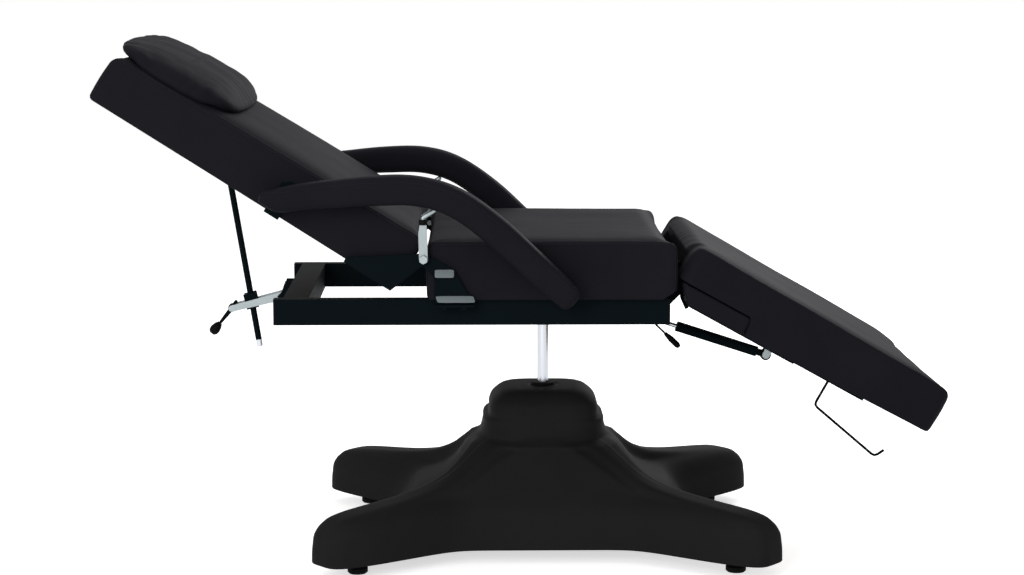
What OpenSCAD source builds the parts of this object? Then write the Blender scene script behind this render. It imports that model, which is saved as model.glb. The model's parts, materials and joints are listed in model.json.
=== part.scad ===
// Massage table with a hydraulic column: padded backrest, seat and leg rest on a steel
// frame, over a moulded four-legged base. X runs along the bed towards the feet, Y across
// it, Z up from the floor. The origin is on the floor under the middle of the bed.

/* [Base] */
// Distance from the column to the tip of each leg of the cover
leg_reach = 538; // [500:2:560]
// Angle of the legs from the length of the bed
leg_angle = 39.4; // [36:0.1:42]
// Half the width of a leg at its foot
leg_half_w = 66; // [60:1:76]
// Height of the cover's neck
neck_h = 303; // [290:1:304]
// Half the width of the cover's neck below its step
neck_half_w = 122; // [112:1:130]
// Half the length of the skirt between the legs
skirt_half_x = 300; // [270:5:330]
// Half the depth of the skirt between the legs
skirt_half_y = 221; // [200:1:240]
// Wall of the moulded cover
cover_wall = 4; // [3:0.5:5]
// Gap between the floor and the cover
cover_gap = 26; // [24:1:30]
// Height of a glide's disc
glide_h = 13; // [10:1:16]
// Radius of a glide
glide_r = 19; // [16:1:24]
// Distance from the tip of a leg back to the middle of its glide
glide_in = 83; // [70:1:108]

/* [Column] */
// Place of the column along the bed
column_x = 46.5; // [30:0.5:60]
// Radius of the chromed piston
piston_r = 11.5; // [11:0.5:15]
// Lowest point of the piston as shown
piston_foot_z = 148; // [146:1:160]
// Radius of the pump's outer tube
pump_r = 30; // [26:1:36]
// Radial clearance of every running fit
fit = 0.05; // [0.02:0.01:0.08]
// Radius of the hub that the piston turns in
hub_r = 25; // [20:1:30]
// Length of the hub below the rails
hub_drop = 34; // [26:1:36]

/* [Frame] */
// Height of the top of the rails as shown
rail_top = 510; // [505:1:520]
// Height of a rail
rail_h = 48; // [44:1:52]
// Width of a rail
rail_w = 25; // [20:1:30]
// Wall of the rails
rail_wall = 2; // [1.5:0.5:3]
// Distance from the sides of the pads in to the sides of the frame
frame_side_in = 20; // [15:1:30]
// Head end of the rails
head_x = -454; // [-460:1:-440]
// Foot end of the rails
foot_x = 270; // [262:1:272]
// Width of the head cross rail
head_rail_w = 47; // [40:1:55]
// Distance of the head cross rail from the ends of the side rails
head_rail_in = 14; // [5:1:25]

/* [Seat] */
// Half the width of the three pads
pad_half_w = 290; // [285:1:295]
// Head end of the seat
seat_head_x = -173; // [-174:0.5:-165]
// Foot end of the seat
seat_foot_x = 284; // [275:0.5:284]
// Height of the seat's side panels
seat_side_h = 108; // [100:1:112]
// Crown of the pads over their side seams
pad_crown = 5; // [4:1:12]
// Thickness of the plywood under the pads
board_t = 12; // [9:1:15]

/* [Backrest] */
// Place of the backrest hinge along the bed
back_hinge_x = -180; // [-182:0.5:-178]
// Height of the backrest hinge above the rails
back_hinge_rise = 78; // [76:0.5:80]
// Slope of the backrest as shown
back_angle = 32.5; // [20:0.5:40]
// Distance from the hinge to the head end of the backrest
back_reach = 668; // [640:2:700]
// Distance from the hinge to the lower end of the backrest
back_start = 14; // [12:0.5:20]
// Height of the backrest's side panels at the hinge
back_side_h = 108; // [98:1:112]
// Length of the head pillow
pillow_len = 222; // [200:2:260]
// Distance from the sides of the backrest in to the sides of the head pillow
pillow_side_in = 55; // [20:1:70]
// Radius of the head pillow's corners
pillow_corner_r = 60; // [20:1:70]
// Thickness of the head pillow at its sides
pillow_h = 36; // [30:1:50]
// Distance from the head end of the backrest to the pillow
pillow_inset = 6; // [2:1:30]

/* [Armrests] */
// Gap between the side of a pad and an armrest
arm_gap = 10; // [8:0.5:14]
// Width of an armrest
arm_w = 60; // [50:1:70]
// Thickness of an armrest
arm_t = 54; // [46:1:60]
// Length of an armrest along the bed
arm_len = 540; // [500:5:560]
// Rise of an armrest over its rear end
arm_rise = 172; // [160:2:185]
// Distance from the hinge back to the rear end of an armrest
arm_rear = 284; // [270:2:300]
// Depth of the armrest's rear end below the hinge, with the backrest flat
arm_drop = 50; // [40:1:60]

/* [Leg rest] */
// Place of the leg rest's hinge along the bed
leg_hinge_x = 294; // [294:0.5:297]
// Height of the leg rest's hinge above the rails
leg_hinge_rise = 50; // [48:0.5:54]
// Slope of the leg rest as shown
leg_angle_down = 29; // [20:0.5:33]
// Distance from the hinge to the foot end of the leg pad
leg_pad_reach = 543; // [500:2:580]
// Overhang of the leg pad's top behind the hinge
leg_pad_back = 8; // [4:0.5:8]
// Height of the leg pad's side panels at the hinge
leg_side_h = 98; // [92:1:102]
// Depth of the leg pad's underside below the hinge
leg_under = 40; // [36:1:44]
// Length of the padded apron under the start of the leg pad
apron_len = 106; // [90:1:120]
// Thickness of that apron
apron_t = 26; // [22:1:28]
// Side of the square sleeves of the carriage
carriage_tube = 16; // [14:1:20]
// Half the distance between the tubes of the carriage
carriage_half_w = 180; // [160:2:200]

/* [Strut] */
// Radius of the backrest's strut
strut_r = 6; // [5:0.5:7]
// Length of the strut from its pivot
strut_len = 330; // [320:2:345]
// Radius of the gas spring's cylinder
gas_r = 10; // [8:0.5:11]
// Length of the gas spring's cylinder
gas_len = 166; // [150:1:168]
// Radius of the gas spring's rod
gas_rod_r = 4; // [3:0.5:5]
// Radius of the wire of the roll holder
wire_r = 2.6; // [2:0.2:3.2]

/* [Hidden] */

// Overrun of every cut, and the gap that keeps a soft piece off its neighbour
over = 1;
soft_gap = 0.4;
// Facets round a true cylinder, and round the children of a hull
$fn = 48;
hull_fn = 32;

// Colours of the finishes
leather = "#26262b";
dark_steel = "#1d2523";
bare_steel = "#9aa3a3";
chrome = "#c9ccd0";
black_plastic = "#18191b";
plywood = "#b89a6a";
rubber = "#141414";

// Heights and hinge places that the pieces share
glide_reach = leg_reach - glide_in;
frame_half_w = pad_half_w - frame_side_in;
pillow_half_w = pad_half_w - pillow_side_in;
rail_z = rail_top - rail_h;
back_hinge_z = rail_top + back_hinge_rise;
leg_hinge_z = rail_top + leg_hinge_rise;
rail_y = frame_half_w - rail_w / 2;
inner_half_w = frame_half_w - rail_w;

module at_column() translate([column_x, 0, 0]) children();

// A piece drawn with the backrest flat and the hinge at the origin, raised to its slope
module at_back()
    translate([back_hinge_x, 0, back_hinge_z]) rotate([0, back_angle, 0]) children();

// A piece drawn with the leg rest level and the hinge at the origin, lowered to its slope
module at_leg()
    translate([leg_hinge_x, 0, leg_hinge_z]) rotate([0, leg_angle_down, 0]) children();

// Both sides of the bed
module both_sides() for (side = [-1, 1]) scale([1, side, 1]) children();

// A bar along Y with its middle at the origin
module bar_y(r, length) rotate([90, 0, 0]) cylinder(r = r, h = length, center = true);

// A plate in the XZ plane, from y0 outwards by t, with the outline of its children
module plate_xz(y0, t) translate([0, y0 + t, 0]) rotate([90, 0, 0]) linear_extrude(t) children();

// A square or oblong tube along X
module tube_x(length, width, height, wall)
    difference() {
        translate([0, -width / 2, 0]) cube([length, width, height]);
        translate([-over, wall - width / 2, wall])
            cube([length + 2 * over, width - 2 * wall, height - 2 * wall]);
    }

// The same tube along Y, centred on the bed
module tube_y(length, width, height, wall)
    difference() {
        translate([0, -length / 2, 0]) cube([width, length, height]);
        translate([wall, -length / 2 - over, wall])
            cube([width - 2 * wall, length + 2 * over, height - 2 * wall]);
    }

// Lofted skins: rings of equal length, from below, each anticlockwise as seen from above
function flat_list(rings) = [for (ring = rings) each ring];
function middle(ring) = [for (k = [0:2]) let (v = [for (p = ring) p[k]]) (min(v) + max(v)) / 2];

module loft(rings) {
    n = len(rings[0]);
    m = len(rings);
    points = concat(flat_list(rings), [middle(rings[0]), middle(rings[m - 1])]);
    sides = [for (k = [0:m - 2], i = [0:n - 1])
        let (a = k * n + i, b = k * n + (i + 1) % n) each [[a, a + n, b + n], [a, b + n, b]]];
    floor_fan = [for (i = [0:n - 1]) [m * n, i, (i + 1) % n]];
    roof_fan = [for (i = [0:n - 1]) let (k = (m - 1) * n) [m * n + 1, k + (i + 1) % n, k + i]];
    polyhedron(points, concat(sides, floor_fan, roof_fan), convexity = 8);
}

// Soft pads. A ring is a rounded oblong whose sides are drawn in between the corners.
corner_steps = 4;
side_steps = 5;
function ring_quarter(hx, hy, r, a0) =
    let (cx = (a0 == 0 || a0 == 270) ? hx - r : r - hx, cy = a0 < 180 ? hy - r : r - hy)
    [for (k = [0:corner_steps]) let (a = a0 + 90 * k / corner_steps) [cx + r * cos(a), cy + r * sin(a)]];
function ring_side(p, q) = [for (k = [1:side_steps - 1]) p + (q - p) * k / side_steps];
function oblong(hx, hy, r) =
    let (c = [for (a = [0, 90, 180, 270]) ring_quarter(hx, hy, r, a)])
    [for (i = [0:3]) each concat(c[i], ring_side(c[i][corner_steps], c[(i + 1) % 4][0]))];
function drawn_in(p, hx, hy, pull) = [
    p.x - sign(p.x) * pull * (1 - pow(p.y / hy, 2)) * pow(abs(p.x) / hx, 4),
    p.y - sign(p.y) * pull * (1 - pow(p.x / hx, 2)) * pow(abs(p.y) / hy, 4)
];
// Rows of shares: height over the side panel, rise by the crown, inset over the shoulder
pad_row_shares = [
    [0, 0, 0.08], [0.04, 0, 0], [0.3, 0, 0.04], [0.7, 0, 0.04], [0.93, 0, 0], [0.955, 0, 0.06],
    [0.985, 0, 0.02], [1, 0.4, 0.22], [1, 0.75, 0.62], [1, 0.95, 1.5], [1, 1, 3]
];
// A pad from x0 to x1, its underside at z = 0, reshaped by a function of each point
module pad(x0, x1, half_w, side_h, crown, corner_r, shoulder, pull, reshape) {
    hx = (x1 - x0) / 2;
    loft([for (row = pad_row_shares)
        let (inset = row[2] * shoulder, r = max(corner_r - inset, corner_r / 4))
        [for (p = oblong(hx - inset, half_w - inset, r))
            let (q = drawn_in(p, hx - inset, half_w - inset, pull))
            reshape([q.x + (x0 + x1) / 2, q.y, row[0] * side_h + row[1] * crown])]]);
}
pad_corner_r = 22;
pad_shoulder = 28;
pad_pull = 3;
end_round = 30;
nose_round = 46;
// Fall of a pad's top towards an end at distance d, a quarter round of radius r that fades
// out at the side panels and takes the rows of the end face down with it
function end_fall(d, r) = d >= r ? 0 : r - sqrt(r * r - pow(r - max(d, 0), 2));
function rolled(p, side_h, start, start_r, end, end_r) =
    p.z - (end_fall(p.x - start, start_r) + end_fall(end - p.x, end_r))
        * (1 - pow(abs(p.y) / pad_half_w, 8)) * pow(min(p.z / side_h, 1), 2);

// Base cover: each row of shares gives height, reach and half width of the legs, and the
// half sizes of the body between them
cover_row_shares = [
    [0, 1, 1, 1, 1], [0.122, 0.998, 0.98, 0.96, 0.97], [0.212, 0.987, 0.95, 0.905, 0.95],
    [0.262, 0.965, 0.85, 0.87, 0.938], [0.3, 0.93, 0.72, 0.84, 0.93], [0.322, 0.875, 0.61, 0.81, 0.922],
    [0.338, 0.79, 0.54, 0.775, 0.916], [0.356, 0.68, 0.52, 0.73, 0.908], [0.39, 0.545, 0.54, 0.665, 0.895],
    [0.445, 0.435, 0.57, 0.605, 0.872], [0.505, 0.37, 0.6, 0.557, 0.845], [0.553, 0.33, 0.63, 0.525, 0.8],
    [0.59, 0.3, 0.66, 0.49, 0.72], [0.63, 0.27, 0.7, 0.452, 0.64]
];
// Rows of the neck: height and half width, as shares of the neck
neck_row_shares = [
    [0.67, 1.03], [0.71, 0.995], [0.765, 0.965], [0.8, 0.95], [0.818, 0.885], [0.88, 0.865],
    [0.925, 0.82], [0.96, 0.745], [0.985, 0.65], [1, 0.5]
];
cover_steps = 72;
neck_square = 3.4;
leg_square = 4.5;
blend_power = 6;
function oblong_polar(a, hx, hy, n) = pow(pow(abs(cos(a)) / hx, n) + pow(abs(sin(a)) / hy, n), -1 / n);
function leg_polar(a, reach, half_w) =
    let (d = abs(atan2(abs(sin(a)), abs(cos(a))) - leg_angle))
    pow(pow(cos(d) / reach, leg_square) + pow(sin(d) / half_w, leg_square), -1 / leg_square);
function either(p, q) = pow(pow(p, blend_power) + pow(q, blend_power), 1 / blend_power);
function cover_ring(z, reach, half_w, hx, hy) =
    [for (i = [0:cover_steps - 1])
        let (a = 360 * i / cover_steps,
             r = either(leg_polar(a, reach, half_w), oblong_polar(a, hx, hy, neck_square)))
        [r * cos(a), r * sin(a), z]];
function neck_ring(z, half) =
    [for (i = [0:cover_steps - 1])
        let (a = 360 * i / cover_steps, r = oblong_polar(a, half, half, neck_square))
        [r * cos(a), r * sin(a), z]];
function cover_z(share) = cover_gap + share * (neck_h - cover_gap);
// The skin of the cover, drawn in by a wall, up to the edge of the hole for the collar
function cover_rings(wall) = concat(
    [for (s = cover_row_shares) cover_ring(cover_z(s[0]) - wall, s[1] * leg_reach - wall,
        s[2] * leg_half_w - wall, s[3] * skirt_half_x - wall, s[4] * skirt_half_y - wall)],
    [for (s = neck_row_shares) neck_ring(cover_z(s[0]) - wall, s[1] * neck_half_w - wall)],
    [[for (i = [0:cover_steps - 1]) let (a = 360 * i / cover_steps, r = collar_r + soft_gap)
        [r * cos(a), r * sin(a), neck_h - wall]]]);
function inner_rings() =
    let (rings = cover_rings(cover_wall))
    concat([[for (p = rings[0]) [p.x, p.y, cover_gap]]], [for (k = [1:len(rings) - 1]) rings[k]]);
function backwards(rows) = [for (k = [len(rows) - 1:-1:0]) rows[k]];

// A closed band of rings: out over the skin and back along its inside
module band(rings) {
    n = len(rings[0]);
    m = len(rings);
    polyhedron(flat_list(rings), [for (k = [0:m - 1], i = [0:n - 1])
        let (a = k * n + i, b = k * n + (i + 1) % n, c = ((k + 1) % m) * n)
        each [[a, c + i, c + (i + 1) % n], [a, c + (i + 1) % n, b]]], convexity = 8);
}

// Notch in the far side of the cover, for the pedal's arm
slot_w = 56;
slot_z = 102;
collar_r = 22;

module base_cover() color(black_plastic) at_column()
    difference() {
        band(concat(cover_rings(0), backwards(inner_rings())));
        translate([-slot_w / 2, 0, cover_gap - over]) cube([slot_w, leg_reach, slot_z - cover_gap + over]);
    }

// Steel cross under the cover
spider_w = 50;
spider_h = 25;
spider_z = cover_gap + cover_wall;
spider_spare = 40;
spider_reach = glide_reach + spider_spare;
hub_plate_r = 95;
plate_t = 6;
module base_frame() color(dark_steel) at_column()
    difference() {
        union() {
            for (a = [leg_angle, -leg_angle])
                rotate(a) translate([-spider_reach, 0, spider_z])
                    tube_x(2 * spider_reach, spider_w, spider_h, rail_wall);
            translate([0, 0, spider_z + spider_h]) cylinder(r = hub_plate_r, h = plate_t);
        }
        translate([0, 0, -over]) cylinder(r = pump_r + soft_gap, h = neck_h);
        glide_places() translate([0, 0, -over]) cylinder(r = bolt_r + fit, h = neck_h);
    }

bolt_r = 5;
module glide_places() for (sx = [-1, 1], sy = [-1, 1])
    translate([sx * glide_reach * cos(leg_angle), sy * glide_reach * sin(leg_angle), 0]) children();

// Levelling glides: a rubber disc, its nut and its screw in the cross
glide_lip = 3;
module glides() color(rubber) at_column() glide_places() {
    rotate_extrude() polygon([
        [0, 0], [glide_r - glide_lip, 0], [glide_r, glide_lip], [glide_r, glide_h - glide_lip],
        [glide_r - glide_lip, glide_h], [0, glide_h]
    ]);
    translate([0, 0, glide_h]) cylinder(r = 2 * bolt_r, h = spider_z - glide_h, $fn = 6);
    translate([0, 0, glide_h]) cylinder(r = bolt_r, h = spider_z + spider_h - glide_h);
}

// Hexagon head on a shank, standing on z = 0 and pointing down
module bolt(r, shank) {
    cylinder(r = 1.75 * r, h = 1.1 * r, $fn = 6);
    if (shank > 0) translate([0, 0, -shank]) cylinder(r = r, h = shank);
}

pump_bolt_ring = 62;
pump_bolt_r = 4;
module pump_bolt_places() for (a = [45:90:315])
    rotate(a) translate([pump_bolt_ring, 0, 0]) children();
module base_bolts() color(bare_steel) at_column()
    pump_bolt_places() translate([0, 0, spider_z + spider_h + plate_t + flange_t]) bolt(pump_bolt_r, 0);

// Pump: outer tube with the piston's bore, flange and pedal bracket
flange_t = 8;
pump_floor = 4;
collar_sink = 14;
pump_top = neck_h - collar_sink;
module pump_cylinder() color(dark_steel) at_column()
    difference() {
        translate([0, 0, cover_gap]) cylinder(r = pump_r, h = pump_top - cover_gap);
        translate([0, 0, cover_gap + pump_floor]) cylinder(r = piston_r + fit, h = neck_h);
    }

pedal_pivot_out = 34;
pedal_pivot_y = pump_r + pedal_pivot_out;
pedal_pivot_z = 92;
pedal_pin_r = 5;
pedal_arm_t = 16;
ear_t = 5;
module pump_foot() color(dark_steel) at_column() {
    translate([0, 0, spider_z + spider_h + plate_t]) difference() {
        cylinder(r = pump_bolt_ring + 3 * pump_bolt_r, h = flange_t);
        translate([0, 0, -over]) cylinder(r = pump_r + soft_gap, h = flange_t + 2 * over);
    }
    ear_z = spider_z + spider_h + plate_t + flange_t;
    for (side = [-1, 1]) scale([side, 1, 1])
        translate([pedal_arm_t / 2 + fit * 4, 0, 0]) difference() {
            rotate([90, 0, 90]) linear_extrude(ear_t) hull() {
                translate([pedal_pivot_y, pedal_pivot_z]) circle(r = 2 * pedal_pin_r, $fn = hull_fn);
                translate([pump_r + 2 * ear_t, ear_z]) square([pump_bolt_ring - pump_r, over]);
            }
        }
    translate([0, pedal_pivot_y, pedal_pivot_z]) rotate([0, 90, 0])
        cylinder(r = pedal_pin_r, h = pedal_arm_t + 2 * ear_t, center = true);
}

// Rubber collar that wipes the piston
collar_h = 5;
collar_lip = 3;
module neck_collar() color(rubber) at_column()
    translate([0, 0, pump_top]) difference() {
        rotate_extrude() polygon([
            [piston_r + fit, 0], [collar_r, 0], [collar_r, neck_h - pump_top],
            [collar_r + collar_lip, neck_h - pump_top], [collar_r, neck_h - pump_top + collar_h],
            [piston_r + fit, neck_h - pump_top + collar_h]
        ]);
    }

// Foot pedal of the pump, on the far side
pedal_len = 300;
pedal_arm_h = 22;
pedal_pad_w = 90;
pedal_pad_d = 46;
pedal_fall = 34;
pedal_run = pedal_len - pedal_pivot_y;
// Slope of the arm's top, which meets both its round ends
pedal_slope = atan(pedal_fall / pedal_run) + asin(pedal_arm_h / 6 / norm([pedal_run, pedal_fall]));
module pedal_profile() hull() {
    translate([pedal_pivot_y, pedal_pivot_z]) circle(r = pedal_arm_h / 2, $fn = hull_fn);
    translate([pedal_len, pedal_pivot_z - pedal_fall]) circle(r = pedal_arm_h / 3, $fn = hull_fn);
}
module pedal_arm() color(dark_steel) at_column() difference() {
    translate([-pedal_arm_t / 2, 0, 0]) rotate([90, 0, 90]) linear_extrude(pedal_arm_t) pedal_profile();
    translate([0, pedal_pivot_y, pedal_pivot_z]) rotate([0, 90, 0])
        cylinder(r = pedal_pin_r + fit, h = pedal_arm_t + 2 * over, center = true);
}
module pedal_pad() color(rubber) at_column()
    translate([0, pedal_len, pedal_pivot_z - pedal_fall]) rotate([-pedal_slope, 0, 0])
        translate([0, -pedal_arm_h / 2, pedal_arm_h / 3]) linear_extrude(pedal_arm_h / 2)
            offset(r = pedal_arm_h / 3) square([pedal_pad_w - pedal_arm_h, pedal_pad_d - pedal_arm_h], center = true);

module piston_rod() color(chrome) at_column()
    translate([0, 0, piston_foot_z]) cylinder(r = piston_r, h = rail_top - plate_t - over - piston_foot_z);

// Frame
module side_rail(side) color(dark_steel)
    translate([head_x, side * rail_y, rail_z]) tube_x(foot_x - head_x, rail_w, rail_h, rail_wall);
module side_rail_near() side_rail(-1);
module side_rail_far() side_rail(1);

module head_cross_rail() color(dark_steel)
    translate([head_x + head_rail_in, 0, rail_z]) tube_y(2 * inner_half_w, head_rail_w, rail_h, rail_wall);
module foot_cross_rail() color(dark_steel)
    translate([foot_x - rail_w, 0, rail_z]) tube_y(2 * inner_half_w, rail_w, rail_h, rail_wall);

// Two cross rails either side of the column, and one beside the backrest's hinge
mid_rail_w = 40;
mid_rail_gap = 100;
module mid_cross_rails() color(dark_steel)
    for (x = [column_x - mid_rail_gap / 2 - mid_rail_w, column_x + mid_rail_gap / 2, seat_head_x + rail_w])
        translate([x, 0, rail_z]) tube_y(2 * inner_half_w, mid_rail_w, rail_h, rail_wall);

// Plastic caps in the ends of the side rails
cap_t = 3;
module rail_caps() color(black_plastic) both_sides() for (x = [head_x - cap_t, foot_x])
    translate([x, rail_y - rail_w / 2, rail_z]) cube([cap_t, rail_w, rail_h]);

// Plate and hub that carry the bed on the piston
hub_plate_half = 90;
gusset_h = 30;
module column_hub() color(dark_steel) at_column() {
    difference() {
        union() {
            translate([-hub_plate_half, -hub_plate_half, rail_z - plate_t])
                cube([2 * hub_plate_half, 2 * hub_plate_half, plate_t]);
            translate([0, 0, rail_z - hub_drop]) cylinder(r = hub_r, h = hub_drop + rail_h - board_t);
        }
        translate([0, 0, rail_z - hub_drop - over])
            cylinder(r = piston_r + fit, h = rail_top - plate_t - rail_z + hub_drop + over);
        hub_bolt_places() translate([0, 0, rail_z - rail_h]) cylinder(r = bolt_r + fit, h = rail_h + over);
    }
    for (a = [0:90:270]) rotate(a)
        translate([0, plate_t / 2, 0]) rotate([90, 0, 0]) linear_extrude(plate_t) polygon([
            [hub_r - over, rail_z - plate_t], [hub_r + gusset_h, rail_z - plate_t],
            [hub_r - over, rail_z - hub_drop]
        ]);
}
module hub_bolt_places() for (x = [-1, 1], y = [-1, 1])
    translate([x * (hub_plate_half - 2.5 * bolt_r), y * (hub_plate_half - 2.5 * bolt_r), 0]) children();

module frame_bolts() color(bare_steel) {
    at_column() hub_bolt_places() translate([0, 0, rail_z - plate_t]) mirror([0, 0, 1]) bolt(bolt_r, plate_t);
    both_sides() for (x = [bracket_foot - bracket_len / 4, bracket_foot - 3 * bracket_len / 4])
        translate([x, bracket_y + bracket_lip / 2, rail_top - plate_t - bracket_t])
            mirror([0, 0, 1]) bolt(bracket_t, 0);
}

// Bracket of the backrest's hinge: a web out of the rail, a plate beside the seat, and two
// turned edges
bracket_t = 4;
bracket_y = pad_half_w + bracket_t;
bracket_foot_in = 92;
bracket_foot = back_hinge_x + bracket_foot_in;
bracket_len = 72;
bracket_lip = 14;
hinge_r = 5;
hinge_eye_r = 12;
lip_rise = back_hinge_rise * 0.64;
lip_up = 14;
module hinge_bracket(side) color(dark_steel) scale([1, -side, 1]) {
    web_z = rail_top - plate_t;
    difference() {
        plate_xz(-bracket_y - bracket_t, bracket_t) union() {
            polygon([
                [bracket_foot, web_z], [bracket_foot - bracket_len / 2, web_z + lip_rise + lip_up],
                [back_hinge_x + hinge_eye_r * 0.9, back_hinge_z + hinge_eye_r * 0.4],
                [back_hinge_x - hinge_eye_r * 0.9, back_hinge_z - hinge_eye_r * 0.4],
                [bracket_foot - bracket_len, web_z + lip_rise], [bracket_foot - bracket_len, web_z]
            ]);
            translate([back_hinge_x, back_hinge_z]) circle(r = hinge_eye_r);
        }
        translate([back_hinge_x, -bracket_y, back_hinge_z]) bar_y(hinge_r + fit, 4 * bracket_t);
    }
    translate([bracket_foot - bracket_len, -bracket_y - bracket_lip, web_z - bracket_t])
        cube([bracket_len, bracket_y + bracket_lip - frame_half_w, bracket_t]);
    translate([bracket_foot - bracket_len, -bracket_y - bracket_t, web_z + lip_rise]) rotate([90, 0, 90])
        linear_extrude(bracket_len / 2) polygon([[0, 0], [0, lip_up], [-bracket_lip / 2, 0]]);
}
module hinge_bracket_near() hinge_bracket(-1);
module hinge_bracket_far() hinge_bracket(1);

// Bracket for the yoke, on the outside of the head cross rail
yoke_x = -462;
yoke_drop = 30;
yoke_z = rail_top - yoke_drop;
yoke_half_gap = 14;
yoke_pin_r = 4;
bar_t = 4;
module yoke_bracket() color(dark_steel) difference() {
    union() {
        both_sides() translate([0, yoke_half_gap + bar_t + soft_gap, 0])
            plate_xz(0, bar_t) {
                polygon([
                    [head_x + head_rail_in, rail_top], [head_x + head_rail_in, rail_z + plate_t],
                    [yoke_x, yoke_z - 2 * yoke_pin_r], [yoke_x - 2 * yoke_pin_r, yoke_z],
                    [yoke_x, yoke_z + 2 * yoke_pin_r], [yoke_x + 2 * yoke_pin_r, rail_top]
                ]);
            }
        translate([yoke_x, 0, yoke_z]) bar_y(yoke_pin_r, 2 * (yoke_half_gap + 2 * bar_t + soft_gap));
    }
}

// Bracket under the foot cross rail, for the gas spring and its lever
gas_x = 236;
gas_drop = 22;
gas_z = rail_z - gas_drop;
gas_pin_r = 4;
gas_ear_y = 9;
lever_out = 18;
lever_drop = 8;
lever_x = gas_x + lever_out;
lever_z = gas_z - lever_drop;
module gas_bracket() color(dark_steel) {
    both_sides() difference() {
        plate_xz(gas_ear_y, bar_t) hull() {
            translate([gas_x, gas_z]) circle(r = 2 * gas_pin_r, $fn = hull_fn);
            translate([lever_x, lever_z]) circle(r = 2 * gas_pin_r, $fn = hull_fn);
            translate([gas_x - 2 * gas_pin_r, rail_z - plate_t]) square([foot_x - gas_x, plate_t / 2]);
        }
    }
    translate([gas_x - 2 * gas_pin_r, -gas_ear_y - 2 * bar_t, rail_z - plate_t / 2])
        cube([foot_x - gas_x + 2 * gas_pin_r, 2 * gas_ear_y + 4 * bar_t, plate_t / 2]);
    translate([gas_x, 0, gas_z]) bar_y(gas_pin_r, 2 * gas_ear_y + 2 * bar_t);
}

// Ears of the leg rest's hinge, in front of the foot cross rail
leg_ear_r = 8.5;
leg_pin_r = 4;
leg_ear_y = carriage_half_w;
module leg_hinge_ears() color(dark_steel) both_sides() {
    difference() {
        plate_xz(leg_ear_y, ear_t) union() {
            polygon([
                [foot_x, rail_top - rail_h / 2], [foot_x + leg_ear_r, rail_top - rail_h / 2],
                [leg_hinge_x + leg_ear_r, rail_top], [leg_hinge_x + leg_ear_r, leg_hinge_z],
                [leg_hinge_x - leg_ear_r, leg_hinge_z], [leg_hinge_x - leg_ear_r, rail_top - rail_wall],
                [foot_x, rail_top - rail_wall]
            ]);
            translate([leg_hinge_x, leg_hinge_z]) circle(r = leg_ear_r);
        }
        translate([leg_hinge_x, leg_ear_y, leg_hinge_z]) bar_y(leg_pin_r + fit, 4 * ear_t);
    }
}

// Seat
board_inset = 12;
seat_board_len = seat_foot_x - seat_head_x - 5 * board_inset;
module seat_board() color(plywood)
    translate([seat_head_x + board_inset, board_inset - pad_half_w, rail_top])
        cube([seat_board_len, 2 * (pad_half_w - board_inset), board_t]);

// The seat's ends: rounded top edges, and a lower front corner cut back over the hinge
front_cut = 22;
function seat_shape(p) =
    let (low = 1 - min(1, p.z / (seat_side_h * 0.14)))
    [p.x - low * front_cut * max(0, 1 - (seat_foot_x - p.x) / (4 * front_cut)), p.y,
     rail_top + rolled(p, seat_side_h, seat_head_x, end_round, seat_foot_x, nose_round)];
module seat_cushion() color(leather) difference() {
    pad(seat_head_x, seat_foot_x, pad_half_w, seat_side_h, pad_crown, pad_corner_r, pad_shoulder,
        pad_pull, function(p) seat_shape(p));
    translate([seat_head_x + board_inset - soft_gap, board_inset - pad_half_w - soft_gap, rail_top - over])
        cube([seat_board_len + 2 * soft_gap, 2 * (pad_half_w - board_inset + soft_gap), board_t + over]);
}

// Backrest, drawn flat with its hinge at the origin
back_under = back_hinge_rise - soft_gap;
module back_board() color(plywood) at_back()
    translate([board_inset - back_reach, board_inset - pad_half_w, -back_under])
        cube([back_reach - back_start - 3 * board_inset, 2 * (pad_half_w - board_inset), board_t]);

back_taper = 0.14;
function back_thin(x) = 1 - back_taper * (-back_start - x) / (back_reach - back_start);
function back_shape(p) =
    [p.x, p.y, back_thin(p.x) * rolled(p, back_side_h, -back_reach, end_round, -back_start, end_round) - back_under];
module back_cushion() color(leather) at_back() difference() {
    pad(-back_reach, -back_start, pad_half_w, back_side_h, pad_crown, pad_corner_r, pad_shoulder,
        pad_pull, function(p) back_shape(p));
    translate([board_inset - back_reach - soft_gap, board_inset - pad_half_w - soft_gap, -back_under - over])
        cube([back_reach - back_start - 3 * board_inset + 2 * soft_gap,
              2 * (pad_half_w - board_inset + soft_gap), board_t + over]);
}

// Steel arm from the hinge pin to the underside of the board
arm_plate_y = bracket_y + bracket_t + fit * 4;
arm_plate_len = 120;
module back_hinge_arm(side) color(dark_steel) at_back() scale([1, -side, 1]) {
    difference() {
        plate_xz(-arm_plate_y - bracket_t, bracket_t) union() {
            polygon([
                [0, hinge_eye_r], [-hinge_eye_r * 1.5, 0],
                [-arm_plate_len, -back_under + plate_t], [-arm_plate_len, -back_under - bracket_t],
                [-1.7 * hinge_eye_r, -back_under - bracket_t], [hinge_eye_r * 0.4, -hinge_eye_r]
            ]);
            circle(r = hinge_eye_r);
        }
        translate([0, -arm_plate_y, 0]) bar_y(hinge_r - fit, 4 * bracket_t);
    }
    translate([-arm_plate_len, -arm_plate_y - bracket_t, -back_under - bracket_t])
        cube([arm_plate_len - 1.7 * hinge_eye_r, arm_plate_y + bracket_t - frame_half_w - 2 * over, bracket_t]);
}
module back_hinge_arm_near() back_hinge_arm(-1);
module back_hinge_arm_far() back_hinge_arm(1);

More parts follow.
